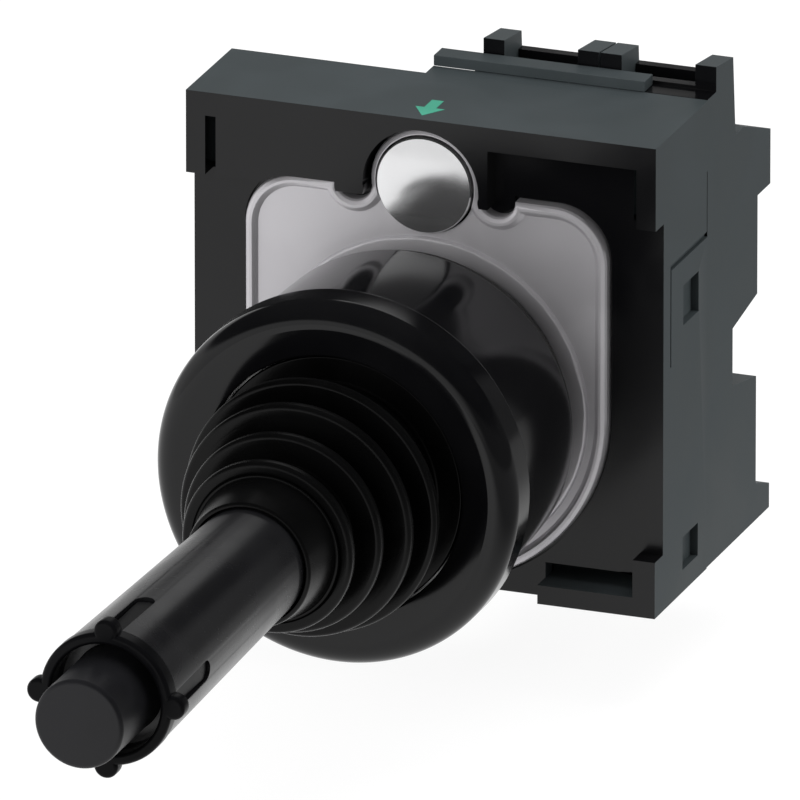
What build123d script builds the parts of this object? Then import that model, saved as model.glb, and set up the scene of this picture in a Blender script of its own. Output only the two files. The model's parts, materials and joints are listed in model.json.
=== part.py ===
"""Panel-mount joystick: a rubber-booted lever on a 22 mm collar, a four-bay holder behind the panel,
and two contact modules. The origin is on the lever's axis at the front of the panel.
X points right, Y points back through the panel, Z points up, and the lever stands out along -Y."""

import os
from math import cos, radians, sin

from build123d import *

# Clearances
running_gap = 0.05
seat_gap = 0.02
free_gap = 0.3

# Panel and seal
panel_thickness = 1.5
gasket_thickness = 1.0
gasket_gap = 0.1

# Collar that passes through the panel, and its wide shell in front
collar_radius = 11.0
collar_wall = 1.7
collar_shell_rise = 1.6
collar_shell_wall = 2.5
collar_shell_front = -13.2
collar_chamfer = 0.4
collar_tail = 0.8
groove_depth = 0.9
groove_side_gap = 0.1
collar_shell_radius = collar_radius + collar_shell_rise
collar_cavity = collar_shell_radius - collar_shell_wall
collar_bore = collar_radius - collar_wall
gasket_radius = collar_shell_radius + gasket_thickness

# Lever mechanism
pivot_y = -9.5
ring_gap = 0.8
ring_wall = 1.7
ring_radius = collar_cavity - ring_gap
ring_bore = ring_radius - ring_wall
ring_half_width = 1.5
ring_chamfer = 0.3
plate_gap_in_ring = 0.6
plate_radius = ring_bore - plate_gap_in_ring
plate_thickness = 2.2
hub_radius = 3.4
hub_length = 3.3
pitch_pin_radius = 0.75
pin_boss_overlap = 1.1
pin_boss_inner = plate_radius - pin_boss_overlap
pin_boss_width = 3.2
pin_boss_rise = 1.2
pin_boss_round = 0.5
pin_end_gap = 0.1
yaw_pin_radius = 0.9
stem_radius = 2.0
stem_recess = 0.1
stem_stand = 1.5
stem_chamfer = 0.3
rod_radius = 0.9
rod_nose_radius = 0.45
rod_reach = 2.0

# Front bezel: its wall round the collar's shell, its taper, and the rim's overhang
bezel_wall = 1.35
bezel_taper = 0.5
bezel_rim_overhang = 0.85
bezel_lip_overhang = 1.7
bezel_rim_round = 1.9
bezel_rim_width = 4.5
bezel_face_stand = 5.7
bezel_lip_thickness = 1.9
bezel_dish = 0.35
bezel_rear_chamfer = 0.4
bezel_rim_chamfer = 0.3
bezel_front = collar_shell_front - bezel_face_stand
bezel_rim_back = bezel_front + bezel_rim_width
bezel_body_rear_radius = collar_shell_radius + bezel_wall
bezel_body_front_radius = bezel_body_rear_radius + bezel_taper
bezel_rim_radius = bezel_body_front_radius + bezel_rim_overhang
bezel_lip_radius = collar_shell_radius - bezel_lip_overhang

# Handle
handle_back = -34.0
handle_length = 33.8
handle_end = handle_back - handle_length
handle_root_radius = 4.65
handle_waist_radius = 4.93
handle_waist_y = handle_back - 12.0
handle_mid_radius = 5.1
handle_mid_y = handle_back - 22.0
handle_end_radius = 5.45
slot_width = 1.7
slot_length = 8.1
slot_floor_radius = 4.6
button_radius = 3.7
button_stand = 7.3
button_length = 12.9
button_front = handle_end - button_stand
button_back = button_front + button_length
button_travel = 3.0
button_round = 0.35
rod_socket_depth = 6.0
spring_room = 6.2
spring_seat_y = button_back + spring_room
end_recess_radius = slot_floor_radius
end_recess_depth = 1.4
end_ring_rise = 0.06
end_ring_radius = handle_end_radius + end_ring_rise
end_ring_length = 1.5
end_ring_round = 0.3
nub_radius = 0.9
nub_stand_radius = 6.07
arm_width = 1.3
arm_cover = 0.5
stem_nut_radius = 3.4
stem_nut_length = 2.0

# Rubber boot: each crest and valley as its rise above the neck, for the flare that is given, and its
# distance in front of the bezel
boot_wall = 0.95
boot_foot_thickness = 1.3
boot_flare = 5.2
boot_crests = ((5.1, 4.2), (4.22, 7.6), (2.8, 10.6), (1.65, 14.0))
boot_valleys = ((3.45, 1.6), (2.75, 5.9), (1.45, 9.1), (0.4, 12.3))
boot_skirt_gap = 0.15
boot_skirt_stand = 0.1
boot_neck_wall = 0.9
boot_neck_radius = handle_root_radius + boot_neck_wall
boot_neck_start = handle_back - 1.0
boot_neck_end = boot_neck_start - 3.4
boot_crest_land = 0.8
boot_crest_round = 0.35
boot_bead_rise = 0.25
boot_bead_length = 0.9

# Holder behind the panel: front and back faces, walls and ears
lug_plane = panel_thickness
lug_depth = 1.9
holder_wall = 1.6
holder_front = lug_plane + lug_depth
holder_front_back = holder_front + holder_wall
holder_half_width = 20.0
holder_long_back = 13.7
holder_short_step = 1.8
holder_short_back = holder_long_back - holder_short_step
long_back_start_x = -3.4
inner_half_width = holder_half_width - holder_wall

# Latch that locks the holder on the collar
latch_gap = 0.2
latch_thickness = 1.0
latch_travel = 3.0
key_gap = 0.15
latch_frame = 2.35
latch_side_room = 1.8
latch_left_room = 1.6
latch_rise_x = 10.0
latch_rise_width = 4.0
latch_strip_drop = 1.0
latch_strip = 1.0
latch_bar_inset = 5.4
latch_bar_depth = 1.9
latch_bar_thickness = 0.8
latch_bar_pocket = 0.4
latch_slide_gap = 0.1
latch_front = holder_front_back + latch_gap
latch_back = latch_front + latch_thickness
latch_left = latch_travel + latch_left_room - inner_half_width
latch_right = inner_half_width - latch_side_room
latch_bar_left = long_back_start_x
latch_bar_right = holder_half_width - latch_bar_inset
groove_start = latch_front - groove_side_gap
groove_width = latch_thickness + 2 * groove_side_gap
collar_end = groove_start + groove_width + collar_tail
key_small = collar_radius - groove_depth + key_gap
key_large = collar_radius + free_gap
latch_top = key_large + latch_frame
latch_bottom_room = 0.55
inner_bottom = -latch_top - latch_bottom_room
holder_bottom = inner_bottom - holder_wall

# Clamp screw, which stands above the latch, and the holder's top above the screw
screw_boss_radius = 4.3
screw_boss_gap = 0.35
screw_boss_length = 3.6
screw_top_room = 5.9
screw_z = latch_top + screw_boss_gap + screw_boss_radius
screw_boss_back = holder_front_back + screw_boss_length
holder_top = screw_z + screw_top_room
inner_top = holder_top - holder_wall
latch_strip_top = inner_top - latch_strip_drop
band_height = 2.0
ear_height = 7.0
ear_bottom = holder_top - ear_height
ear_wall = 1.64
ear_slot = 0.9
ear_slot_depth = 4.4
ear_slot_wall = 0.8
foot_ear_start = 10.0
foot_ear_height = 1.6
foot_ear_slot = 1.3
foot_ear_slot_depth = 4.0
corner_block_width = 1.9
corner_block_height = 4.8
corner_block_top = holder_bottom + corner_block_height
side_slit_z = 12.6
side_seam_z = 5.0
side_seam_front = holder_front_back
side_seam_depth = 0.3
side_seam_width = 0.16
side_slit_front = side_seam_front + 0.15
side_slit_width = 0.5
side_pocket_front = side_seam_front + 3.0
side_pocket_back = side_pocket_front + 3.6
side_pockets = ((7.0, 10.4), (-13.9, -11.1))
side_pocket_depth = 0.65

# Clamp plate
plate_side_room = 4.6
plate_top_drop = 0.6
plate_bottom_room = 0.9
plate_half_width = holder_half_width - plate_side_room
plate_top = screw_z - plate_top_drop
plate_bottom = holder_bottom + plate_bottom_room
plate_corner = 4.5
clamp_plate_set_back = 1.4
clamp_plate_thickness = 1.0
clamp_plate_front = lug_plane + clamp_plate_set_back
plate_seat = clamp_plate_front + clamp_plate_thickness
plate_lip_width = 0.8
plate_lip_rise = 0.4
plate_gap = 0.25
plate_bore = collar_radius + plate_gap
plate_ring_width = 1.85
plate_ring_radius = plate_bore + plate_ring_width
plate_ring_rise = 0.35
plate_ring_start = 98.0
plate_ring_sweep = 170.0
notch_x = 6.1
notch_radius = 1.5

# Clamp foot and clamp screw
dome_radius = 4.04
dome_wall_gap = 0.64
dome_edge = 0.75
dome_rise = 0.45
dome_set_back = 0.3
dome_gap = 0.16
dome_sink = 0.2
lobe_radius = dome_radius + dome_wall_gap
pad_side = 1.02
pad_right_x = lobe_radius + pad_side
dome_front = lug_plane + dome_set_back
foot_hub_radius = 2.9
foot_hub_tail = 0.5
foot_hub_back = plate_seat + foot_hub_tail
journal_radius = 1.2
journal_gap = 0.05
screw_radius = 2.0
insert_wall = 1.0
insert_length = 3.0
insert_radius = screw_radius + insert_wall
insert_front = screw_boss_back - insert_length
screw_head_radius = 3.3
screw_head_gap = 0.6
screw_head_front = screw_boss_back + screw_head_gap
screw_head_length = 2.3
screw_head_chamfer = 0.4
driver_slot_width = 0.9
driver_slot_depth = 1.1

# Rams that carry the lever's tilt back to the contacts
ram_circle = 4.2
ram_radius = 0.9
ram_tip_gap = 0.2
ram_flange_radius = 1.7
ram_flange_front = -2.8
ram_flange_thickness = 0.8
guide_front = -5.0
guide_web = 1.0
guide_gap = 0.1
guide_tail = 2.5
guide_back = collar_end - guide_tail
guide_radius = collar_bore - guide_gap
pocket_radius = 1.95
retainer_thickness = 2.0
retainer_screw_inset = 1.7
retainer_screw_circle = guide_radius - retainer_screw_inset
retainer_screw_radius = 0.8
retainer_head_radius = 1.3
retainer_head_height = 0.8
retainer_screw_length = 3.0
retainer_socket_radius = 0.45
retainer_socket_depth = 0.5
rod_well_radius = 2.45
retainer_back = guide_back + retainer_thickness
foot_room = 2.0
foot_front = retainer_back + foot_room
foot_thickness = 1.8
foot_half_height = 0.9
foot_slim = 0.15

# Contact modules: places along Y are given back from the module's front
module_seat_gap = 0.1
module_side_gap = 0.07
module_width = 9.85
module_pitch = 10.0
module_first_x = holder_half_width - module_side_gap - module_pitch - module_width
module_front = holder_long_back + module_seat_gap
module_wall = 0.95
module_back = module_front + 14.9
module_foot_top = holder_bottom + 2.1
lower_face_y = module_front + 11.7
lower_face_low = module_foot_top + 1.1
lower_face_top = -3.4
waist_y = module_front + 6.1
waist_low = -2.3
waist_top = 2.6
upper_face_y = module_front + 11.9
upper_face_low = 3.6
ledge_low = 12.0
ledge_top = 16.7
shoulder_z = holder_top - 5.2
shoulder_y = module_front + 8.6
fin_front = module_front + 2.0
fin_back = module_front + 6.6
fin_top = holder_top + 2.1
fin_lean = 0.6
fin_drop = 0.5
chamber_back = module_front + 5.2
chamber_half_height = 9.5
cover_thickness = 1.2
pole_offset = 2.9
plunger_boss_wall = 0.4
plunger_boss_length = 1.0
plunger_z = 4.6
plunger_radius = 0.8
plunger_tail = 0.6
plunger_tip_chamfer = 0.2
bridge_front = module_front + 3.05
bridge_thickness = 0.35
bridge_half_span = 3.2
contact_pip = 0.2
bridge_width = 1.4
strip_thickness = 0.4
strip_leg_half = 0.5
strip_front = module_front + 4.8
terminal_x = 2.55
upper_terminal_z = 8.2
lower_terminal_z = -8.0
terminal_pad_front = module_front + 7.0
terminal_pad_size = 3.2
terminal_pad_thickness = 0.5
washer_front = module_front + 9.1
washer_thickness = 0.6
terminal_head_radius = 1.7
terminal_head_front = washer_front + 0.65
terminal_head_length = 1.4
terminal_shank_radius = 1.1
terminal_shank_front = module_front + 6.2
terminal_slot_width = 0.6
terminal_slot_depth = 0.6
driver_gap = 0.2
wire_hole_width = 3.3
wire_hole_depth = 3.0
plunger_spring_floor = module_front + 8.0
fin_width = 1.8
trench_front = module_front + 2.9
trench_back = module_front + 5.2
trench_floor = holder_top - 3.7
trench_back_top = holder_top + 0.3

# Springs
ram_spring_wire = 0.25
ram_spring_radius = 1.35
ram_spring_turns = 4
button_spring_wire = 0.35
button_spring_radius = 2.95
button_spring_turns = 3
plunger_spring_wire = 0.2
plunger_spring_radius = 0.95
plunger_spring_turns = 3

# Values worked out from those above
strip_back = strip_front + strip_thickness
bridge_back = bridge_front + bridge_thickness
foot_back = foot_front + foot_thickness
ram_tip = pivot_y + ram_tip_gap
ram_flange_back = ram_flange_front + ram_flange_thickness
stem_bore = rod_radius + running_gap
boot_foot_back = bezel_front + bezel_lip_thickness + boot_foot_thickness
rod_well_depth = pivot_y + rod_reach + button_travel - guide_front + free_gap
rise_left = latch_rise_x - latch_rise_width / 2
rise_right = latch_rise_x + latch_rise_width / 2
latch_rise_front = holder_long_back + latch_slide_gap
latch_rise_back = latch_rise_front + latch_strip
bar_low = holder_top + latch_slide_gap

os.makedirs("parts", exist_ok=True)


def facing(y):
    """A sketch plane at depth y, read from the front: x is X, y is Z, and extruding goes forward."""
    return Plane.XZ.offset(-y)


def save(piece, label):
    """Names a finished piece and writes it to its own file."""
    piece.part.label = label
    export_step(piece.part, f"parts/{label}.step")


def turned(points):
    """A solid of revolution about the lever's axis, from (radius, y) points."""
    with BuildPart() as piece:
        with BuildSketch(Plane.XY):
            with BuildLine():
                Polyline(*points, close=True)
            make_face()
        revolve(axis=Axis.Y)
    return piece


def tube_on_y(radius, bore, front, back, x=0.0, z=0.0):
    """Adds a round tube or rod along Y to the part being built."""
    with BuildSketch(facing(back)) as section:
        with Locations((x, z)):
            Circle(radius)
            if bore:
                Circle(bore, mode=Mode.SUBTRACT)
    extrude(section.sketch, amount=back - front)


def bore_on_y(radius, front, back, x=0.0, z=0.0):
    """Cuts a round hole along Y from the part being built."""
    with BuildSketch(facing(back)) as section:
        with Locations((x, z)):
            Circle(radius)
    extrude(section.sketch, amount=back - front, mode=Mode.SUBTRACT)


def block(x_range, y_range, z_range, mode=Mode.ADD):
    """Adds or cuts a rectangular block given by its limits."""
    with BuildSketch(facing(y_range[1])) as section:
        with Locations(((x_range[0] + x_range[1]) / 2, (z_range[0] + z_range[1]) / 2)):
            Rectangle(x_range[1] - x_range[0], z_range[1] - z_range[0])
    extrude(section.sketch, amount=y_range[1] - y_range[0], mode=mode)


def coil(radius, wire, front, back, turns, x=0.0, z=0.0):
    """A compression spring along Y between two seats, clear of both by a hair."""
    start = front + wire + seat_gap
    length = back - front - 2 * wire - 2 * seat_gap
    with BuildPart() as spring:
        with BuildLine() as path:
            Helix(length / turns, length, radius, center=(x, start, z), direction=(0, 1, 0))
        with BuildSketch(Plane(origin=path.line @ 0, z_dir=path.line % 0)):
            Circle(wire)
        sweep(path=path.line, is_frenet=True)
    return spring


# Bezel: the gloss front shell, open at the back, with a rolled rim and a shallow dished face
with BuildPart() as bezel:
    with BuildSketch(Plane.XY):
        with BuildLine():
            rim_flat = bezel_rim_radius - bezel_rim_round
            Polyline(
                (collar_shell_radius + seat_gap, -gasket_thickness),
                (bezel_body_rear_radius - bezel_rear_chamfer, -gasket_thickness),
                (bezel_body_rear_radius, -gasket_thickness - bezel_rear_chamfer),
                (bezel_body_front_radius, bezel_rim_back),
                (bezel_rim_radius - bezel_rim_chamfer, bezel_rim_back),
                (bezel_rim_radius, bezel_rim_back - bezel_rim_chamfer),
                (bezel_rim_radius, bezel_front + bezel_rim_round),
            )
            RadiusArc(
                (bezel_rim_radius, bezel_front + bezel_rim_round),
                (rim_flat, bezel_front),
                bezel_rim_round,
            )
            Polyline(
                (rim_flat, bezel_front),
                (bezel_lip_radius, bezel_front + bezel_dish),
                (bezel_lip_radius, bezel_front + bezel_lip_thickness),
                (collar_shell_radius + seat_gap, bezel_front + bezel_lip_thickness),
                (collar_shell_radius + seat_gap, -gasket_thickness),
            )
        make_face()
    revolve(axis=Axis.Y)
save(bezel, "bezel")

# Boot: a rubber bellows, gripped behind the bezel's lip and tight round the handle's root
boot_skirt = bezel_lip_radius - boot_skirt_gap
boot_outline = [
    (boot_skirt, bezel_front + bezel_lip_thickness),
    (boot_skirt, bezel_front - boot_skirt_stand),
]
flare_share = (boot_skirt - boot_neck_radius) / boot_flare
crest_places = [(boot_neck_radius + rise * flare_share, bezel_front - stand) for rise, stand in boot_crests]
valley_places = [(boot_neck_radius + rise * flare_share, bezel_front - stand) for rise, stand in boot_valleys]
for (valley_radius, valley_y), (crest_radius, crest_y) in zip(valley_places, crest_places):
    boot_outline.append((valley_radius, valley_y))
    boot_outline.append((crest_radius, crest_y + boot_crest_land / 2))
    boot_outline.append((crest_radius, crest_y - boot_crest_land / 2))
boot_outline += [
    (boot_neck_radius, boot_neck_start),
    (boot_neck_radius, boot_neck_end + boot_bead_length),
    (boot_neck_radius + boot_bead_rise, boot_neck_end + boot_bead_length / 2),
    (boot_neck_radius + boot_bead_rise, boot_neck_end),
]
boot_neck_bore = handle_root_radius + free_gap
boot_inside = [(max(r - boot_wall, boot_neck_bore), y) for r, y in boot_outline]
with BuildPart() as boot:
    with BuildSketch(Plane.XY):
        with BuildLine():
            Polyline(
                (collar_shell_radius - seat_gap, bezel_front + bezel_lip_thickness),
                *boot_outline,
                (boot_neck_bore, boot_neck_end),
                *boot_inside[-2:0:-1],
                (boot_skirt - boot_wall, boot_foot_back),
                (collar_shell_radius - seat_gap, boot_foot_back),
                close=True,
            )
        make_face()
    revolve(axis=Axis.Y)
    crest_edges = [
        edge
        for edge in boot.edges().filter_by(GeomType.CIRCLE)
        if any(
            abs(edge.radius - radius) < running_gap and abs(edge.arc_center.Y - y) < boot_crest_land
            for radius, y in crest_places
        )
    ]
    fillet(crest_edges, boot_crest_round)
save(boot, "boot")

# Clamp ring: presses the boot's foot against the bezel's lip
boot_clamp_ring = turned(
    (
        (collar_cavity + free_gap, boot_foot_back),
        (collar_shell_radius - seat_gap, boot_foot_back),
        (collar_shell_radius - seat_gap, collar_shell_front),
        (collar_cavity + free_gap, collar_shell_front),
    )
)
save(boot_clamp_ring, "boot_clamp_ring")

# Gasket: flat rubber seal between the bezel and the panel
gasket = turned(
    (
        (collar_radius + gasket_gap, -gasket_thickness),
        (gasket_radius, -gasket_thickness),
        (gasket_radius, 0),
        (collar_radius + gasket_gap, 0),
    )
)
save(gasket, "gasket")

# Collar: carries the gimbal in its cup and passes through the panel, with a latch groove at its end
with BuildPart() as collar:
    groove_end = groove_start + groove_width
    with BuildSketch(Plane.XY):
        with BuildLine():
            Polyline(
                (collar_cavity, collar_shell_front),
                (collar_shell_radius, collar_shell_front),
                (collar_shell_radius, -gasket_thickness),
                (collar_radius, -gasket_thickness),
                (collar_radius, groove_start),
                (collar_radius - groove_depth, groove_start),
                (collar_radius - groove_depth, groove_end),
                (collar_radius, groove_end),
                (collar_radius, collar_end - collar_chamfer),
                (collar_radius - collar_chamfer, collar_end),
                (collar_bore, collar_end),
                (collar_bore, guide_front + guide_web),
                (collar_cavity, guide_front + guide_web),
                close=True,
            )
        make_face()
    revolve(axis=Axis.Y)
    with BuildSketch(Plane.XY):
        with Locations((0, pivot_y)):
            Circle(yaw_pin_radius + seat_gap)
    extrude(amount=collar_shell_radius, both=True, mode=Mode.SUBTRACT)
save(collar, "collar")

# Yaw pins: fixed in the collar above and below, with the gimbal ring turning on them
yaw_pin_inner = ring_bore + pin_end_gap
with BuildPart() as yaw_pins:
    for side in (1, -1):
        with BuildSketch(Plane.XY.offset(side * yaw_pin_inner)):
            with Locations((0, pivot_y)):
                Circle(yaw_pin_radius)
        extrude(amount=side * (collar_shell_radius - pin_end_gap - yaw_pin_inner))
save(yaw_pins, "yaw_pins")

# Gimbal ring: turns on the yaw pins and holds the lever's pitch pins
with BuildPart() as gimbal_ring:
    tube_on_y(ring_radius, ring_bore, pivot_y - ring_half_width, pivot_y + ring_half_width)
    chamfer(gimbal_ring.edges().filter_by(GeomType.CIRCLE).group_by(SortBy.RADIUS)[-1], ring_chamfer)
    with BuildSketch(Plane.XY):
        with Locations((0, pivot_y)):
            Circle(yaw_pin_radius + running_gap)
    extrude(amount=collar_shell_radius, both=True, mode=Mode.SUBTRACT)
    with BuildSketch(Plane.YZ):
        with Locations((pivot_y, 0)):
            Circle(pitch_pin_radius + running_gap)
    extrude(amount=collar_shell_radius, both=True, mode=Mode.SUBTRACT)
save(gimbal_ring, "gimbal_ring")

# Swash plate: the lever's root, whose back face passes through the pivot and presses the rams
swash_front = pivot_y - plate_thickness
hub_front = swash_front - hub_length
with BuildPart() as swash_plate:
    tube_on_y(plate_radius, 0, swash_front, pivot_y)
    tube_on_y(hub_radius, 0, hub_front, swash_front)
    boss_back = pivot_y + pin_boss_rise
    for side in (1, -1):
        x_range = sorted((side * pin_boss_inner, side * (ring_bore - free_gap)))
        block(x_range, (swash_front, boss_back), (-pin_boss_width / 2, pin_boss_width / 2))
    fillet(swash_plate.edges().filter_by(Axis.X).group_by(Axis.Y)[-1], pin_boss_round)
    bore_on_y(stem_radius + seat_gap, hub_front, pivot_y)
    with BuildSketch(Plane.YZ):
        with Locations((pivot_y, 0)):
            Circle(pitch_pin_radius + seat_gap)
    extrude(amount=ring_radius, both=True, mode=Mode.SUBTRACT)
    tube_on_y(hub_radius, stem_radius + seat_gap, hub_front, pivot_y)
save(swash_plate, "swash_plate")

# Pitch pins: pressed in the swash plate's bosses, with their outer ends in the gimbal ring
with BuildPart() as pitch_pins:
    for side in (1, -1):
        with BuildSketch(Plane.YZ.offset(side * (pin_boss_inner + pin_end_gap))):
            with Locations((pivot_y, 0)):
                Circle(pitch_pin_radius)
        extrude(amount=side * (ring_radius - pin_boss_inner - 2 * pin_end_gap))
save(pitch_pins, "pitch_pins")

# Lever stem: a steel tube from the swash plate up into the handle
stem_back = pivot_y - stem_recess
stem_front = spring_seat_y - stem_stand
with BuildPart() as lever_stem:
    tube_on_y(stem_radius, stem_bore, stem_front, stem_back)
    chamfer(lever_stem.edges().group_by(Axis.Y)[0].sort_by(SortBy.RADIUS)[-1], stem_chamfer)
save(lever_stem, "lever_stem")

# Stem nut: locks the handle on the stem, inside the boot
with BuildPart() as stem_nut:
    nut_front = handle_back + seat_gap
    with BuildSketch(facing(nut_front + stem_nut_length)):
        RegularPolygon(stem_nut_radius, 6)
        Circle(stem_radius + seat_gap, mode=Mode.SUBTRACT)
    extrude(amount=stem_nut_length)
save(stem_nut, "stem_nut")

# Handle: a moulded tube that swells towards its end, with four slots for the end ring's arms
with BuildPart() as handle:
    with BuildSketch(Plane.XY):
        with BuildLine():
            Spline(
                (handle_root_radius, handle_back),
                (handle_waist_radius, handle_waist_y),
                (handle_mid_radius, handle_mid_y),
                (handle_end_radius, handle_end),
            )
            Polyline(
                (handle_end_radius, handle_end),
                (end_recess_radius, handle_end),
                (end_recess_radius, handle_end + end_recess_depth),
                (button_radius + running_gap, handle_end + end_recess_depth),
                (button_radius + running_gap, spring_seat_y),
                (stem_radius + seat_gap, spring_seat_y),
                (stem_radius + seat_gap, handle_back),
                (handle_root_radius, handle_back),
            )
        make_face()
    revolve(axis=Axis.Y)
    with BuildSketch(facing(handle_end)) as slot_ends:
        with PolarLocations((slot_floor_radius + nub_stand_radius) / 2, 4):
            Rectangle(nub_stand_radius - slot_floor_radius, slot_width)
    extrude(amount=-slot_length, mode=Mode.SUBTRACT)
save(handle, "handle")

# End ring: closes the handle, with four arms that snap into the slots and a nub on each
arm_inner = slot_floor_radius + running_gap
arm_outer = handle_end_radius - arm_cover
with BuildPart() as end_ring:
    with BuildSketch(facing(handle_end)):
        Circle(end_ring_radius)
        with PolarLocations(nub_stand_radius, 4):
            Circle(nub_radius)
        Circle(end_recess_radius, mode=Mode.SUBTRACT)
    extrude(amount=end_ring_length)
    fillet(end_ring.edges().group_by(Axis.Y)[0], end_ring_round)
    with BuildSketch(facing(handle_end + slot_length - free_gap)):
        with PolarLocations((arm_inner + arm_outer) / 2, 4):
            Rectangle(arm_outer - arm_inner, arm_width)
    extrude(amount=slot_length - free_gap)
save(end_ring, "end_ring")

# Release button: slides in the end of the handle
with BuildPart() as release_button:
    tube_on_y(button_radius, 0, button_front, button_back)
    fillet(release_button.edges().group_by(Axis.Y)[0], button_round)
    bore_on_y(rod_radius + seat_gap, button_back - rod_socket_depth, button_back)
save(release_button, "release_button")

# Release rod: runs from the button through the stem and ends in a nose behind the pivot
rod_back = pivot_y + rod_reach
with BuildPart() as release_rod:
    tube_on_y(rod_radius, 0, button_back - rod_socket_depth + seat_gap, rod_back)
    chamfer(release_rod.edges().group_by(Axis.Y)[-1], rod_radius - rod_nose_radius)
save(release_rod, "release_rod")

button_spring = coil(
    button_spring_radius,
    button_spring_wire,
    button_back,
    spring_seat_y,
    button_spring_turns,
)
save(button_spring, "button_spring")

# Ram guide: sits in the collar, with a bore and a spring pocket for each ram and a well for the rod
ram_places = {
    "up": (0.0, ram_circle),
    "down": (0.0, -ram_circle),
    "right": (ram_circle, 0.0),
    "left": (-ram_circle, 0.0),
}
screw_places = [
    (retainer_screw_circle * cos(radians(a)), retainer_screw_circle * sin(radians(a))) for a in (45, 225)
]
with BuildPart() as ram_guide:
    tube_on_y(collar_cavity - guide_gap, 0, guide_front, guide_front + guide_web)
    tube_on_y(guide_radius, 0, guide_front, guide_back)
    bore_on_y(rod_well_radius, guide_front, guide_front + rod_well_depth)
    for x, z in ram_places.values():
        bore_on_y(ram_radius + running_gap, guide_front, guide_back, x, z)
        bore_on_y(pocket_radius, guide_front + guide_web, guide_back, x, z)
    for x, z in screw_places:
        hole_front = guide_back - retainer_screw_length - free_gap
        bore_on_y(retainer_screw_radius + seat_gap, hole_front, guide_back, x, z)
save(ram_guide, "ram_guide")

# Retainer: closes the spring pockets from behind
retainer_head_front = retainer_back - retainer_head_height
with BuildPart() as ram_retainer:
    tube_on_y(guide_radius, 0, guide_back, retainer_back)
    for x, z in ram_places.values():
        bore_on_y(ram_radius + running_gap, guide_back, retainer_back, x, z)
    for x, z in screw_places:
        bore_on_y(retainer_screw_radius + seat_gap, guide_back, retainer_back, x, z)
        bore_on_y(retainer_head_radius + running_gap, retainer_head_front, retainer_back, x, z)
save(ram_retainer, "ram_retainer")

with BuildPart() as retainer_screws:
    for x, z in screw_places:
        tube_on_y(retainer_screw_radius, 0, guide_back - retainer_screw_length, retainer_head_front, x, z)
        tube_on_y(retainer_head_radius, 0, retainer_head_front, retainer_back, x, z)
        bore_on_y(retainer_socket_radius, retainer_back - retainer_socket_depth, retainer_back, x, z)
save(retainer_screws, "retainer_screws")

# Contact places: both modules have a pole high on their left and a pole low on their right
module_starts = [module_first_x + i * module_pitch for i in range(2)]
pole_places = {
    "up": (module_starts[0] + pole_offset, plunger_z),
    "down": (module_starts[0] + module_width - pole_offset, -plunger_z),
    "right": (module_starts[1] + pole_offset, plunger_z),
    "left": (module_starts[1] + module_width - pole_offset, -plunger_z),
}

# Rams: each has a rounded tip under the swash plate, a spring flange, and a foot that reaches its
# contact. The left ram's foot runs below the right ram, and the outer feet turn up or down at their ends
left_foot_z = -(ram_radius + 2 * free_gap + foot_half_height)
left_foot_half = foot_half_height - foot_slim
foot_bands = {
    "up": (ram_circle - ram_radius, plunger_z + ram_radius),
    "down": (-plunger_z - ram_radius, -ram_circle + ram_radius),
    "right": (-foot_half_height, foot_half_height),
    "left": (left_foot_z - left_foot_half, left_foot_z + left_foot_half),
}
plunger_springs = {}
for name, (x, z) in ram_places.items():
    pole_x, pole_z = pole_places[name]
    low, high = foot_bands[name]
    with BuildPart() as ram:
        tube_on_y(ram_radius, 0, ram_tip, foot_front, x, z)
        fillet(ram.edges().group_by(Axis.Y)[0], ram_radius - seat_gap)
        tube_on_y(ram_flange_radius, 0, ram_flange_front, ram_flange_back, x, z)
        block((x - ram_radius, pole_x + ram_radius), (foot_front, foot_back), (low, high))
        block(
            (x - ram_radius, x + ram_radius),
            (foot_front, foot_back),
            (min(z - ram_radius, low), max(z + ram_radius, high)),
        )
        block(
            (pole_x - ram_radius, pole_x + ram_radius),
            (foot_front, foot_back),
            (min(pole_z - ram_radius, low), max(pole_z + ram_radius, high)),
        )
    save(ram, f"ram_{name}")
    ram_spring = coil(
        ram_spring_radius, ram_spring_wire, ram_flange_back, guide_back, ram_spring_turns, x, z
    )
    save(ram_spring, f"ram_spring_{name}")

    # Plunger: slides in the module's front cover and carries the bridge on its tail
    with BuildPart() as plunger:
        tube_on_y(plunger_radius, 0, foot_back, bridge_front, pole_x, pole_z)
        chamfer(plunger.edges().group_by(Axis.Y)[0], plunger_tip_chamfer)
        tube_on_y(plunger_radius / 2, 0, bridge_front, strip_front + plunger_tail, pole_x, pole_z)
    save(plunger, f"plunger_{name}")

    # Bridge: a sprung copper bar with a pip at each end, over two fixed contacts
    with BuildPart() as bridge:
        block(
            (pole_x - bridge_width / 2, pole_x + bridge_width / 2),
            (bridge_front, bridge_back),
            (pole_z - bridge_half_span, pole_z + bridge_half_span),
        )
        for end in (-1, 1):
            pip_z = pole_z + end * (bridge_half_span - bridge_width / 2)
            tube_on_y(bridge_width / 3, 0, bridge_back, bridge_back + contact_pip, pole_x, pip_z)
        bore_on_y(plunger_radius / 2 + seat_gap, bridge_front, bridge_back, pole_x, pole_z)
    save(bridge, f"bridge_{name}")
    plunger_springs[name] = coil(
        plunger_spring_radius,
        plunger_spring_wire,
        bridge_back,
        plunger_spring_floor,
        plunger_spring_turns,
        pole_x,
        pole_z,
    )
    save(plunger_springs[name], f"plunger_spring_{name}")


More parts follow.
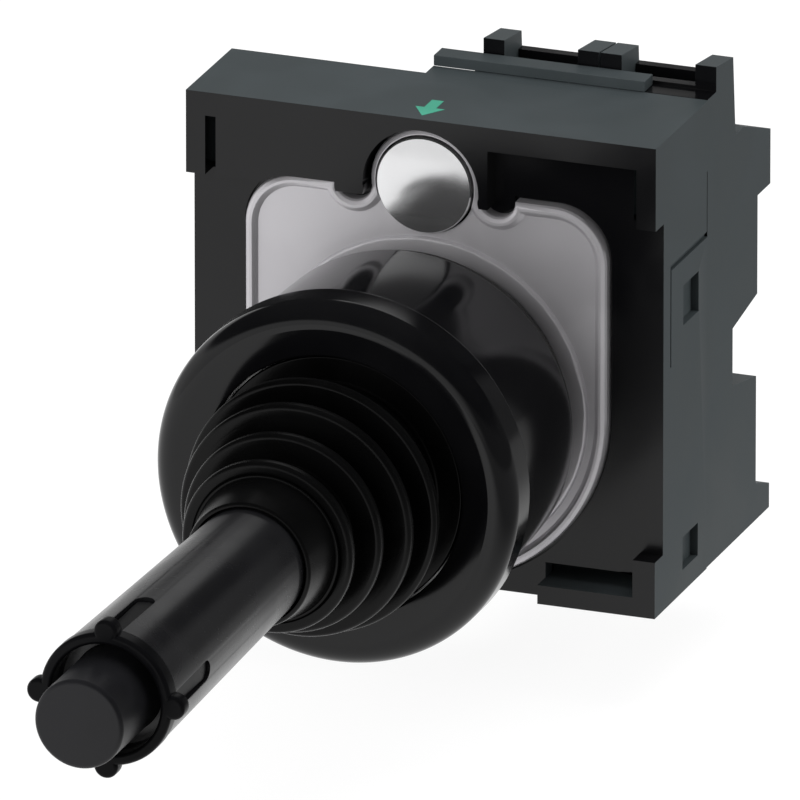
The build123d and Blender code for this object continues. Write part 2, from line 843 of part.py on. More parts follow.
def clamp_plate_outline(grow=0.0):
    """The clamp plate's outline: straight sides, rounded top corners, an arc below, a lobe round the
    screw and two half-round notches beside it, grown all round by a gap when it cuts the plate's seat."""
    half = plate_half_width + grow
    top = plate_top + grow
    bottom = plate_bottom - grow
    with BuildSketch(mode=Mode.PRIVATE) as outline:
        with Locations((0, top / 2)):
            Rectangle(2 * half, top)
        fillet(outline.vertices().group_by(Axis.Y)[-1], plate_corner + grow)
        Circle(half)
        with Locations((0, bottom - half)):
            Rectangle(2 * half, 2 * half, mode=Mode.SUBTRACT)
        for side in (-1, 1):
            with Locations((side * notch_x, plate_top)):
                Circle(notch_radius - grow, mode=Mode.SUBTRACT)
        with Locations((0, screw_z)):
            Circle(lobe_radius + grow)
    return outline.sketch


# Holder: the square moulded frame behind the panel, open at the back for four modules
with BuildPart() as holder:
    block(
        (-holder_half_width, holder_half_width),
        (holder_front, holder_short_back),
        (holder_bottom, holder_top),
    )
    block(
        (long_back_start_x, holder_half_width),
        (holder_short_back, holder_long_back),
        (holder_bottom, holder_top),
    )
    block(
        (-holder_half_width, pad_right_x),
        (lug_plane, holder_front),
        (ear_bottom, holder_top),
    )
    block(
        (pad_right_x, holder_half_width),
        (lug_plane, holder_front),
        (holder_top - band_height, holder_top),
    )
    block(
        (holder_half_width - ear_wall, holder_half_width),
        (lug_plane, holder_front),
        (ear_bottom, holder_top - band_height),
    )
    for side in (-1, 1):
        x_range = sorted((side * foot_ear_start, side * holder_half_width))
        block(x_range, (lug_plane, holder_front), (holder_bottom, holder_bottom + foot_ear_height))
        x_range = sorted((side * (holder_half_width - corner_block_width), side * holder_half_width))
        block(x_range, (lug_plane, holder_front), (holder_bottom, corner_block_top))
        x_range = sorted((side * foot_ear_start, side * (holder_half_width - corner_block_width)))
        slot_low = holder_bottom + foot_ear_height
        block(
            x_range,
            (holder_front, lug_plane + foot_ear_slot_depth),
            (slot_low, slot_low + foot_ear_slot),
            Mode.SUBTRACT,
        )
    block(
        (-inner_half_width, inner_half_width),
        (holder_front_back, holder_long_back),
        (inner_bottom, inner_top),
        Mode.SUBTRACT,
    )
    for side in (-1, 1):
        pocket_side = side * (holder_half_width - ear_wall)
        x_range = sorted((pocket_side, pocket_side - side * (ear_slot + ear_slot_wall)))
        z_range = (ear_bottom - ear_slot_wall, inner_top)
        block(x_range, (holder_front_back, lug_plane + ear_slot_depth + ear_slot_wall), z_range)
        x_range = sorted((pocket_side, pocket_side - side * ear_slot))
        z_range = (ear_bottom, holder_top - band_height)
        block(x_range, (lug_plane, lug_plane + ear_slot_depth), z_range, Mode.SUBTRACT)
    tube_on_y(screw_boss_radius, 0, holder_front_back, screw_boss_back, 0, screw_z)
    with BuildSketch(facing(plate_seat)):
        add(clamp_plate_outline(plate_gap))
    extrude(amount=plate_seat - lug_plane, mode=Mode.SUBTRACT)
    bore_on_y(collar_radius + plate_gap, lug_plane, holder_front_back)
    bore_on_y(foot_hub_radius + plate_gap, lug_plane, insert_front, 0, screw_z)
    bore_on_y(insert_radius + seat_gap, insert_front, screw_boss_back, 0, screw_z)
    bore_on_y(dome_radius + plate_gap, lug_plane, plate_seat + dome_sink, 0, screw_z)
    block(
        (holder_half_width - side_seam_depth, holder_half_width),
        (side_slit_front, holder_long_back),
        (side_slit_z, side_slit_z + side_slit_width),
        Mode.SUBTRACT,
    )
    block(
        (holder_half_width - side_seam_depth, holder_half_width),
        (side_seam_front, side_seam_front + side_seam_width),
        (side_seam_z, side_slit_z),
        Mode.SUBTRACT,
    )
    block(
        (holder_half_width - side_seam_depth, holder_half_width),
        (side_seam_front, holder_long_back),
        (side_seam_z, side_seam_z + side_seam_width),
        Mode.SUBTRACT,
    )
    for pocket in side_pockets:
        block(
            (holder_half_width - side_pocket_depth, holder_half_width),
            (side_pocket_front, side_pocket_back),
            pocket,
            Mode.SUBTRACT,
        )
save(holder, "holder")

# Clamp plate: a stamped plate in the holder's front, with a raised edge and a raised part ring
with BuildPart() as clamp_plate:
    with BuildSketch(facing(plate_seat)):
        add(clamp_plate_outline())
    extrude(amount=clamp_plate_thickness)
    with BuildSketch(facing(clamp_plate_front)):
        add(clamp_plate_outline())
        add(clamp_plate_outline(-plate_lip_width), mode=Mode.SUBTRACT)
    extrude(amount=plate_lip_rise)
    with BuildSketch(facing(clamp_plate_front)):
        with BuildLine():
            sector = CenterArc((0, 0), 2 * plate_half_width, plate_ring_start, -plate_ring_sweep)
            Polyline(sector @ 1, (0, 0), sector @ 0)
        make_face()
        Circle(plate_ring_radius, mode=Mode.INTERSECT)
    extrude(amount=plate_ring_rise)
    bore_on_y(plate_bore, lug_plane, plate_seat)
    bore_on_y(dome_radius + dome_gap, lug_plane, plate_seat, 0, screw_z)
save(clamp_plate, "clamp_plate")

# Clamp foot: the bright domed disc that bears on the panel, free to swivel on the screw
dome_back = dome_front + dome_rise + dome_edge
dome_sphere = (dome_radius**2 + dome_rise**2) / (2 * dome_rise)
with BuildPart() as clamp_foot:
    with BuildSketch(facing(dome_back)):
        with Locations((0, screw_z)):
            Circle(dome_radius)
    extrude(amount=dome_rise + dome_edge)
    with Locations((0, dome_front + dome_sphere, screw_z)):
        Sphere(dome_sphere, mode=Mode.INTERSECT)
    tube_on_y(foot_hub_radius, 0, dome_back, foot_hub_back, 0, screw_z)
    bore_on_y(journal_radius + running_gap, dome_back, foot_hub_back, 0, screw_z)
save(clamp_foot, "clamp_foot")

# Clamp screw: a journal in the foot, a threaded shank in the insert, and a slotted head behind
with BuildPart() as clamp_screw:
    head_back = screw_head_front + screw_head_length
    shank_front = foot_hub_back + journal_gap
    tube_on_y(journal_radius, 0, dome_back + journal_gap, shank_front, 0, screw_z)
    tube_on_y(screw_radius, 0, shank_front, screw_head_front, 0, screw_z)
    tube_on_y(screw_head_radius, 0, screw_head_front, head_back, 0, screw_z)
    chamfer(clamp_screw.edges().group_by(Axis.Y)[-1], screw_head_chamfer)
    block(
        (-screw_head_radius, screw_head_radius),
        (head_back - driver_slot_depth, head_back),
        (screw_z - driver_slot_width / 2, screw_z + driver_slot_width / 2),
        Mode.SUBTRACT,
    )
save(clamp_screw, "clamp_screw")

with BuildPart() as screw_insert:
    tube_on_y(
        insert_radius, screw_radius + running_gap, insert_front, screw_boss_back, 0, screw_z
    )
save(screw_insert, "screw_insert")

# Latch: a stamped plate with a keyhole round the collar, whose left side sits in the collar's groove
with BuildPart() as latch_plate:
    block(
        (latch_left, latch_right),
        (latch_front, latch_back),
        (-latch_top, latch_top),
    )
    bore_on_y(key_small, latch_front, latch_back)
    bore_on_y(key_large, latch_front, latch_back, latch_travel, 0)
    block((rise_left, rise_right), (latch_front, latch_back), (latch_top, latch_strip_top))
    block(
        (rise_left, rise_right),
        (latch_front, latch_rise_back),
        (latch_strip_top - latch_strip, latch_strip_top),
    )
    block(
        (rise_left, rise_right),
        (latch_rise_front, latch_rise_back),
        (latch_strip_top - latch_strip, bar_low + latch_bar_pocket),
    )
save(latch_plate, "latch_plate")

# Latch bar: the moulded thumb ledge on the holder's top edge
with BuildPart() as latch_bar:
    block(
        (latch_bar_left, latch_bar_right),
        (holder_long_back, holder_long_back + latch_bar_depth),
        (bar_low, bar_low + latch_bar_thickness),
    )
    block(
        (rise_left - seat_gap, rise_right + seat_gap),
        (latch_rise_front - seat_gap, latch_rise_back + seat_gap),
        (bar_low, bar_low + latch_bar_pocket + seat_gap),
        Mode.SUBTRACT,
    )
save(latch_bar, "latch_bar")

# Module side profile, from the foot at the front, round the back, to the top
module_profile = (
    (module_front, holder_bottom),
    (module_back, holder_bottom),
    (module_back, module_foot_top),
    (lower_face_y, lower_face_low),
    (lower_face_y, lower_face_top),
    (waist_y, waist_low),
    (waist_y, waist_top),
    (upper_face_y, upper_face_low),
    (upper_face_y, ledge_low),
    (module_back, ledge_low),
    (module_back, ledge_top),
    (shoulder_y, shoulder_z),
    (fin_back, shoulder_z),
    (fin_back - fin_lean, fin_top - fin_drop),
    (fin_front, fin_top),
    (fin_front, holder_top),
    (module_front, holder_top),
)
terminal_spots = []
for start in module_starts:
    for column in (start + terminal_x, start + module_width - terminal_x):
        terminal_spots.append((column, upper_terminal_z, upper_face_y))
        terminal_spots.append((column, lower_terminal_z, lower_face_y))

for module_name, start in zip(("inner", "outer"), module_starts):
    end = start + module_width
    with BuildPart() as module_housing:
        with BuildSketch(Plane.YZ.offset(start)):
            with BuildLine():
                Polyline(*module_profile, close=True)
            make_face()
        extrude(amount=module_width)
        block(
            (start + module_wall, end - module_wall),
            (module_front, chamber_back),
            (-chamber_half_height, chamber_half_height),
            Mode.SUBTRACT,
        )
        trench_x = (start + fin_width, end - fin_width)
        block(trench_x, (trench_front, trench_back), (trench_floor, fin_top), Mode.SUBTRACT)
        block(trench_x, (fin_front, fin_back), (trench_back_top, fin_top), Mode.SUBTRACT)
        block(
            (rise_left - latch_travel - free_gap, rise_right + free_gap),
            (module_front, latch_rise_back + free_gap),
            (latch_strip_top - latch_strip - free_gap, holder_top),
            Mode.SUBTRACT,
        )
        for x, z, face in terminal_spots:
            if start < x < end:
                half = terminal_pad_size / 2 + running_gap
                cavity_back = terminal_head_front - running_gap
                bore_on_y(terminal_head_radius + driver_gap, cavity_back, face, x, z)
                block((x - half, x + half), (chamber_back, cavity_back), (z - half, z + half), Mode.SUBTRACT)
                wire_half = wire_hole_width / 2
                wire_front = terminal_pad_front + terminal_pad_thickness
                z_range = (z, shoulder_z) if z > 0 else (holder_bottom, z)
                y_range = (wire_front, wire_front + wire_hole_depth)
                block((x - wire_half, x + wire_half), y_range, z_range, Mode.SUBTRACT)
        for pole_x, pole_z in pole_places.values():
            if start < pole_x < end:
                well_radius = plunger_spring_radius + plunger_spring_wire + running_gap
                bore_on_y(well_radius, chamber_back, plunger_spring_floor, pole_x, pole_z)
    save(module_housing, f"module_housing_{module_name}")

    # Front cover: closes the contact chamber and guides the two plungers
    with BuildPart() as module_cover:
        cover_back = module_front + cover_thickness
        boss_front = module_front - plunger_boss_length
        block(
            (start + module_wall + seat_gap, end - module_wall - seat_gap),
            (module_front, cover_back),
            (-chamber_half_height + seat_gap, chamber_half_height - seat_gap),
        )
        for pole_x, pole_z in pole_places.values():
            if start < pole_x < end:
                tube_on_y(plunger_radius + plunger_boss_wall, 0, boss_front, module_front, pole_x, pole_z)
                bore_on_y(plunger_radius + running_gap, boss_front, cover_back, pole_x, pole_z)
    save(module_cover, f"module_cover_{module_name}")

# Fixed contacts: a strip from each end of each bridge to its own terminal pad
with BuildPart() as fixed_contacts:
    for index, (pole_x, pole_z) in enumerate(pole_places.values()):
        near = upper_terminal_z if pole_z > 0 else lower_terminal_z
        far = lower_terminal_z if pole_z > 0 else upper_terminal_z
        direction = 1 if pole_z > 0 else -1
        terminal_column = min(terminal_spots, key=lambda spot: abs(spot[0] - pole_x))[0]
        pad_half = terminal_pad_size / 2
        for terminal_z, contact_z in (
            (near, pole_z + direction * (bridge_half_span - bridge_width)),
            (far, pole_z - direction * (bridge_half_span - bridge_width)),
        ):
            z_range = sorted((terminal_z, contact_z))
            strip = (pole_x - bridge_width / 2, pole_x + bridge_width / 2)
            block(strip, (strip_front, strip_back), z_range)
            leg = (terminal_z - strip_leg_half, terminal_z + strip_leg_half)
            block(strip, (strip_front, terminal_pad_front), leg)
            block(
                (terminal_column - pad_half, terminal_column + pad_half),
                (terminal_pad_front, terminal_pad_front + terminal_pad_thickness),
                (terminal_z - pad_half, terminal_z + pad_half),
            )
            bore_on_y(
                terminal_shank_radius + seat_gap,
                terminal_shank_front - running_gap,
                washer_front,
                terminal_column,
                terminal_z,
            )
save(fixed_contacts, "fixed_contacts")

# Terminal screws and their square washers
with BuildPart() as terminal_washers:
    for x, z, _ in terminal_spots:
        half = terminal_pad_size / 2
        block((x - half, x + half), (washer_front, washer_front + washer_thickness), (z - half, z + half))
        bore_on_y(terminal_shank_radius + seat_gap, washer_front, terminal_head_front, x, z)
save(terminal_washers, "terminal_washers")

with BuildPart() as terminal_screws:
    for x, z, _ in terminal_spots:
        head_end = terminal_head_front + terminal_head_length
        tube_on_y(terminal_shank_radius, 0, terminal_shank_front, terminal_head_front, x, z)
        tube_on_y(terminal_head_radius, 0, terminal_head_front, head_end, x, z)
        block(
            (x - terminal_head_radius, x + terminal_head_radius),
            (head_end - terminal_slot_depth, head_end),
            (z - terminal_slot_width / 2, z + terminal_slot_width / 2),
            Mode.SUBTRACT,
        )
save(terminal_screws, "terminal_screws")
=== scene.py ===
"""The looks of the panel joystick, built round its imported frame. Lengths are in millimetres until a
mesh is made, which is in metres. The lever's axis is the Y axis, and the panel's front is at Y = 0."""

import json
import math

import bmesh
import bpy
from mathutils import Matrix, Vector

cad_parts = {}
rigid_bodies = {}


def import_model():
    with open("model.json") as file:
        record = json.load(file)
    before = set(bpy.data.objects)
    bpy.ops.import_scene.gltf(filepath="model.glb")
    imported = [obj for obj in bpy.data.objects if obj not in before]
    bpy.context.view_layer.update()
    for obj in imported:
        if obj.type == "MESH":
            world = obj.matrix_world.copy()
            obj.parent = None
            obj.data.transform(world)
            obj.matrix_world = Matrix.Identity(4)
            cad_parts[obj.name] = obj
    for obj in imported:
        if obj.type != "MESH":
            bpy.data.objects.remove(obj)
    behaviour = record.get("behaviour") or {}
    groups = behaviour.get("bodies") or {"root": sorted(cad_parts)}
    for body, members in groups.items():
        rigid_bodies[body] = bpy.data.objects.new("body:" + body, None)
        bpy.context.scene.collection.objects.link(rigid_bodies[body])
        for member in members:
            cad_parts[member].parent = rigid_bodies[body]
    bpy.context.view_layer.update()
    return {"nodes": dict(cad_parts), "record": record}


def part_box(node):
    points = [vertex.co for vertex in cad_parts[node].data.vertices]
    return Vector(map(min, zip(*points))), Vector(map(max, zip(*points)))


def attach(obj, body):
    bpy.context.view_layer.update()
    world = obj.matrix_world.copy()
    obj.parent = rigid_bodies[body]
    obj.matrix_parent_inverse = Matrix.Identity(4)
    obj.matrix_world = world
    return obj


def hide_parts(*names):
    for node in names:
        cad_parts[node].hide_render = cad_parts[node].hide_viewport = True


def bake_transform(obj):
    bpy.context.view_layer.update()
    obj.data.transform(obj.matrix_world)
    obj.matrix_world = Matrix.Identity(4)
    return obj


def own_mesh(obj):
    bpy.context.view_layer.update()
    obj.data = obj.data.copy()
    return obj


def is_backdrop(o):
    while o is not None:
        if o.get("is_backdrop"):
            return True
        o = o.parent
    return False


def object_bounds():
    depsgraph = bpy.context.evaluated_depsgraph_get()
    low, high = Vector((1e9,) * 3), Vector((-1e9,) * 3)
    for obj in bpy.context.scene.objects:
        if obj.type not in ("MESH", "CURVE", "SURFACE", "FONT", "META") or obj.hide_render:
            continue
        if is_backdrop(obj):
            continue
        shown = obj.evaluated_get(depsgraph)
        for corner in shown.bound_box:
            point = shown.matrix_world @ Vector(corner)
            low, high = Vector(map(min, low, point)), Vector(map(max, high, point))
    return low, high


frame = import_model()
MM = 0.001

# Camera: it looks from the right and above with a very long lens, because the photograph shows
# hardly any perspective.
view_azimuth = math.radians(20.42)
view_elevation = math.radians(20.44)
view_aim = Vector((-1.55, 1.03, 0.28)) * MM
view_width = 64.0 * MM
lens = 1500.0
sensor_width = 36.0
view_back = Vector(
    (
        math.sin(view_azimuth) * math.cos(view_elevation),
        -math.cos(view_azimuth) * math.cos(view_elevation),
        math.sin(view_elevation),
    )
)
camera_data = bpy.data.cameras.new("camera")
camera_data.lens = lens
camera_data.sensor_width = sensor_width
camera_data.clip_start = 0.1
camera_data.clip_end = 10.0
camera = bpy.data.objects.new("camera", camera_data)
camera.location = view_aim + view_back * (view_width * lens / sensor_width)
camera.rotation_mode = "QUATERNION"
camera.rotation_quaternion = (-view_back).to_track_quat("-Z", "Y")
bpy.context.scene.collection.objects.link(camera)
bpy.context.scene.camera = camera
bpy.context.scene.view_settings.view_transform = "Standard"


# Studio: a white surround up to a dark ceiling, large soft lamps above, at the sides and in front,
# and a pale floor that keeps a soft shadow. It lies lower than the lever's end ever comes.
def link(tree, start, end):
    """Joins one node's socket to another's."""
    tree.links.new(start, end)


def math_node(tree, operation, first, second, clamp=False):
    """A math node in a tree, fed by sockets or plain numbers; gives its output socket."""
    node = tree.nodes.new("ShaderNodeMath")
    node.operation = operation
    node.use_clamp = clamp
    for socket, value in zip(node.inputs, (first, second)):
        if isinstance(value, (int, float)):
            socket.default_value = value
        else:
            link(tree, value, socket)
    return node.outputs[0]


def ramp_node(tree, value, low, high, to_low, to_high):
    """A smooth map of a value from one range to another; gives its output socket."""
    node = tree.nodes.new("ShaderNodeMapRange")
    node.interpolation_type = "SMOOTHSTEP"
    for name, number in (("From Min", low), ("From Max", high), ("To Min", to_low), ("To Max", to_high)):
        node.inputs[name].default_value = number
    link(tree, value, node.inputs["Value"])
    return node.outputs["Result"]


ambient = 0.3
ceiling_dark = 0.05
surround_front = 0.85
surround_back = 0.6
right_dark = 0.12
window_light = 0.9
world = bpy.data.worlds.new("studio")
bpy.context.scene.world = world
world.use_nodes = True
tree = world.node_tree
tree.nodes.clear()
rays = tree.nodes.new("ShaderNodeLightPath")
directions = tree.nodes.new("ShaderNodeTexCoord")
axes = tree.nodes.new("ShaderNodeSeparateXYZ")
link(tree, directions.outputs["Generated"], axes.inputs[0])
around = ramp_node(tree, axes.outputs["Y"], -0.2, 0.4, surround_front, surround_back)
from_left = ramp_node(tree, axes.outputs["X"], 0.1, 0.5, 1.0, right_dark)
under_ceiling = ramp_node(tree, axes.outputs["Z"], 0.2, 0.32, 1.0, ceiling_dark)
seen_in_gloss = math_node(tree, "MULTIPLY", math_node(tree, "MULTIPLY", around, from_left), under_ceiling)
window = window_light
window_borders = (
    ("Z", 0.37, 0.4, 0.0, 1.0),
    ("Z", 0.53, 0.6, 1.0, 0.0),
    ("X", -0.36, -0.3, 0.0, 1.0),
    ("X", 0.0, 0.1, 1.0, 0.0),
    ("Y", 0.3, 0.4, 0.0, 1.0),
)
for axis, start, end, before, after in window_borders:
    border = ramp_node(tree, axes.outputs[axis], start, end, before, after)
    window = math_node(tree, "MULTIPLY", window, border)
seen_in_gloss = math_node(tree, "MAXIMUM", seen_in_gloss, window)
seen_in_gloss = math_node(tree, "MULTIPLY", rays.outputs["Is Glossy Ray"], seen_in_gloss)
seen = math_node(tree, "MAXIMUM", rays.outputs["Is Camera Ray"], rays.outputs["Is Transmission Ray"])
fill = math_node(tree, "MULTIPLY", rays.outputs["Is Diffuse Ray"], ambient)
strength = math_node(tree, "MAXIMUM", math_node(tree, "MAXIMUM", seen, seen_in_gloss), fill)
background = tree.nodes.new("ShaderNodeBackground")
background.inputs["Color"].default_value = (1, 1, 1, 1)
link(tree, strength, background.inputs["Strength"])
world_output = tree.nodes.new("ShaderNodeOutputWorld")
link(tree, background.outputs[0], world_output.inputs["Surface"])

floor_level = -24.0 * MM
floor_radius = 400 * MM
floor_paint = 0.16
floor_glow = 0.9
floor_in_gloss = 0.95
dark_start = 10 * MM
dark_end = 60 * MM
floor_material = bpy.data.materials.new("pale floor")
floor_material.use_nodes = True
tree = floor_material.node_tree
tree.nodes.clear()
paint = tree.nodes.new("ShaderNodeBsdfDiffuse")
paint.inputs["Color"].default_value = (floor_paint, floor_paint, floor_paint, 1)
glow = tree.nodes.new("ShaderNodeEmission")
rays = tree.nodes.new("ShaderNodeLightPath")
seen = math_node(tree, "MAXIMUM", rays.outputs["Is Camera Ray"], rays.outputs["Is Transmission Ray"])
place = tree.nodes.new("ShaderNodeTexCoord")
place_axes = tree.nodes.new("ShaderNodeSeparateXYZ")
link(tree, place.outputs["Object"], place_axes.inputs[0])
from_left = ramp_node(tree, place_axes.outputs["X"], dark_start, dark_end, floor_in_gloss, right_dark)
seen_in_gloss = math_node(tree, "MULTIPLY", rays.outputs["Is Glossy Ray"], from_left)
shown = math_node(tree, "MAXIMUM", seen, seen_in_gloss)
link(tree, math_node(tree, "MULTIPLY", shown, floor_glow), glow.inputs["Strength"])
both = tree.nodes.new("ShaderNodeAddShader")
link(tree, paint.outputs[0], both.inputs[0])
link(tree, glow.outputs[0], both.inputs[1])
from_below = tree.nodes.new("ShaderNodeNewGeometry")
clear = tree.nodes.new("ShaderNodeBsdfTransparent")
either = tree.nodes.new("ShaderNodeMixShader")
link(tree, from_below.outputs["Backfacing"], either.inputs["Fac"])
link(tree, both.outputs[0], either.inputs[1])
link(tree, clear.outputs[0], either.inputs[2])
floor_output = tree.nodes.new("ShaderNodeOutputMaterial")
link(tree, either.outputs[0], floor_output.inputs["Surface"])
floor_mesh = bpy.data.meshes.new("floor")
shape = bmesh.new()
bmesh.ops.create_circle(shape, cap_ends=True, radius=floor_radius, segments=96)
bmesh.ops.translate(shape, verts=shape.verts, vec=(0, 0, floor_level))
shape.to_mesh(floor_mesh)
shape.free()
floor = bpy.data.objects.new("floor", floor_mesh)
floor_mesh.materials.append(floor_material)
bpy.context.scene.collection.objects.link(floor)
floor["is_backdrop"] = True


def lamp(name, direction, distance, width, height, power):
    """A soft rectangular lamp in watts that stands off in a direction, in metres, and faces the object."""
    data = bpy.data.lights.new(name, "AREA")
    data.shape = "RECTANGLE"
    data.size = width
    data.size_y = height
    data.energy = power
    light = bpy.data.objects.new(name, data)
    way = Vector(direction).normalized()
    light.location = way * distance
    light.rotation_mode = "QUATERNION"
    light.rotation_quaternion = way.to_track_quat("Z", "Y")
    light.visible_glossy = False
    bpy.context.scene.collection.objects.link(light)


lamp("top_lamp", (0.1, 0.25, 1.0), 0.5, 0.5, 0.5, 2.0)
lamp("right_lamp", (1.0, 0.25, 0.2), 0.5, 0.35, 0.5, 1.9)
lamp("left_lamp", (-1.0, -0.35, 0.35), 0.6, 0.3, 0.4, 1.0)
lamp("front_lamp", (-0.2, -0.95, 0.3), 0.6, 0.4, 0.4, 2.2)


# Bezel: the front shell in gloss black plastic, with a rolled rim round a shallow dished face.
# It is moulded in one piece, polished in the tool, and screwed down by the collar behind it.
def rounded(points, step=6.0):
    """An outline's points in order, where a third number rounds that corner to a radius."""
    path = []
    for index, point in enumerate(points):
        here = Vector(point[:2])
        radius = point[2] if len(point) > 2 else 0
        if not radius:
            path.append(here)
            continue
        before = (Vector(points[index - 1][:2]) - here).normalized()
        after = (Vector(points[(index + 1) % len(points)][:2]) - here).normalized()
        half = before.angle(after) / 2
        centre = here + (before + after).normalized() * (radius / math.sin(half))
        start = here + before * (radius / math.tan(half)) - centre
        turn = start.angle_signed(here + after * (radius / math.tan(half)) - centre)
        steps = max(2, round(abs(math.degrees(turn)) / step))
        for count in range(steps + 1):
            path.append(centre + Matrix.Rotation(-turn * count / steps, 2) @ start)
    return path


def new_piece(name, shape, sharp=25.0):
    """Turns a bmesh in millimetres into a linked object in metres, smooth up to a sharp angle."""
    bmesh.ops.scale(shape, vec=(MM, MM, MM), verts=shape.verts)
    mesh = bpy.data.meshes.new(name)
    shape.to_mesh(mesh)
    shape.free()
    for face in mesh.polygons:
        face.use_smooth = True
    mesh.set_sharp_from_angle(angle=math.radians(sharp))
    piece = bpy.data.objects.new(name, mesh)
    bpy.context.scene.collection.objects.link(piece)
    flatten = piece.modifiers.new("flat faces", "WEIGHTED_NORMAL")
    flatten.keep_sharp = True
    return piece


def turned_shape(profile, segments=144, x=0.0, z=0.0):
    """A bmesh that turns a closed profile of (radius, y) points about an axis along Y."""
    shape = bmesh.new()
    rings = []
    for count in range(segments):
        angle = 2 * math.pi * count / segments
        rings.append(
            [shape.verts.new((x + r * math.sin(angle), y, z + r * math.cos(angle))) for r, y in profile]
        )
    for count in range(segments):
        ring, other = rings[count], rings[(count + 1) % segments]
        for index in range(len(profile)):
            following = (index + 1) % len(profile)
            shape.faces.new((ring[index], ring[following], other[following], other[index]))
    bmesh.ops.remove_doubles(shape, verts=shape.verts, dist=0.0001)
    bmesh.ops.dissolve_degenerate(shape, edges=shape.edges, dist=0.0001)
    bmesh.ops.recalc_face_normals(shape, faces=shape.faces)
    return shape


def new_group(name, inputs, outputs):
    """An empty shader node group with float inputs and outputs, and its two end nodes."""
    group = bpy.data.node_groups.new(name, "ShaderNodeTree")
    for socket, value in inputs:
        made = group.interface.new_socket(socket, in_out="INPUT", socket_type="NodeSocketFloat")
        made.default_value = value
    for socket in outputs:
        group.interface.new_socket(socket, in_out="OUTPUT", socket_type="NodeSocketFloat")
    return group, group.nodes.new("NodeGroupInput"), group.nodes.new("NodeGroupOutput")


def noise_node(tree, vector, scale, detail=2.0, distortion=0.0):
    """A noise texture on a vector; gives its value."""
    node = tree.nodes.new("ShaderNodeTexNoise")
    node.inputs["Scale"].default_value = scale
    node.inputs["Detail"].default_value = detail
    node.inputs["Distortion"].default_value = distortion
    link(tree, vector, node.inputs["Vector"])
    return node.outputs["Fac"]


def make_moulded_group():
    """Spark-eroded or polished moulding: fine grain, slow flow marks, and fine handling marks."""
    group, start, end = new_group(
        "moulded surface", [("Grain Size", 0.2), ("Grain Depth", 1.0)], ["Height", "Flow", "Marks"]
    )
    coords = group.nodes.new("ShaderNodeTexCoord")
    in_mm = group.nodes.new("ShaderNodeVectorMath")
    in_mm.operation = "SCALE"
    in_mm.inputs["Scale"].default_value = 1 / MM
    link(group, coords.outputs["Object"], in_mm.inputs[0])
    by_grain = group.nodes.new("ShaderNodeVectorMath")
    by_grain.operation = "SCALE"
    link(group, in_mm.outputs[0], by_grain.inputs[0])
    link(group, math_node(group, "DIVIDE", 1.0, start.outputs["Grain Size"]), by_grain.inputs["Scale"])
    grain = noise_node(group, by_grain.outputs[0], 1.0, 3.0)
    link(group, math_node(group, "MULTIPLY", grain, start.outputs["Grain Depth"]), end.inputs["Height"])
    link(group, noise_node(group, in_mm.outputs[0], 0.09, 3.0, 0.6), end.inputs["Flow"])
    stretched = group.nodes.new("ShaderNodeMapping")
    stretched.inputs["Scale"].default_value = (0.5, 6.0, 6.0)
    stretched.inputs["Rotation"].default_value = (0.3, 0.5, 0.7)
    link(group, in_mm.outputs[0], stretched.inputs["Vector"])
    marks = noise_node(group, stretched.outputs[0], 0.9, 4.0, 0.2)
    link(group, ramp_node(group, marks, 0.6, 0.8, 0.0, 1.0), end.inputs["Marks"])
    return group


moulded_group = make_moulded_group()


def moulded_material(name, dark, light, roughness, rough_spread, grain, depth, level=0.5):
    """Moulded plastic or rubber: two tones by flow marks, varied roughness, and a grain bump.

    Grain and depth are the width and height of the surface grain in millimetres."""
    material = bpy.data.materials.new(name)
    material.use_nodes = True
    tree = material.node_tree
    shader = tree.nodes["Principled BSDF"]
    shader.inputs["Specular IOR Level"].default_value = level
    surface = tree.nodes.new("ShaderNodeGroup")
    surface.node_tree = moulded_group
    surface.inputs["Grain Size"].default_value = grain
    tone = tree.nodes.new("ShaderNodeMix")
    tone.data_type = "RGBA"
    tone.inputs["A"].default_value = (*dark, 1)
    tone.inputs["B"].default_value = (*light, 1)
    link(tree, ramp_node(tree, surface.outputs["Flow"], 0.35, 0.65, 0.0, 1.0), tone.inputs["Factor"])
    link(tree, tone.outputs["Result"], shader.inputs["Base Color"])
    smoothest = roughness - rough_spread
    dullest = roughness + rough_spread
    rough = ramp_node(tree, surface.outputs["Flow"], 0.3, 0.7, smoothest, dullest)
    wear = math_node(tree, "MULTIPLY", surface.outputs["Marks"], rough_spread)
    link(tree, math_node(tree, "ADD", rough, wear), shader.inputs["Roughness"])
    bump = tree.nodes.new("ShaderNodeBump")
    bump.inputs["Strength"].default_value = 1.0
    bump.inputs["Distance"].default_value = depth * MM
    link(tree, surface.outputs["Height"], bump.inputs["Height"])
    link(tree, bump.outputs["Normal"], shader.inputs["Normal"])
    return material


def dress(piece, material, body, *nodes):
    """Gives a piece its material, sets it on its body, and lets it stand for its CAD nodes."""
    piece.data.materials.clear()
    piece.data.materials.append(material)
    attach(piece, body)
    if nodes:
        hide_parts(*nodes)


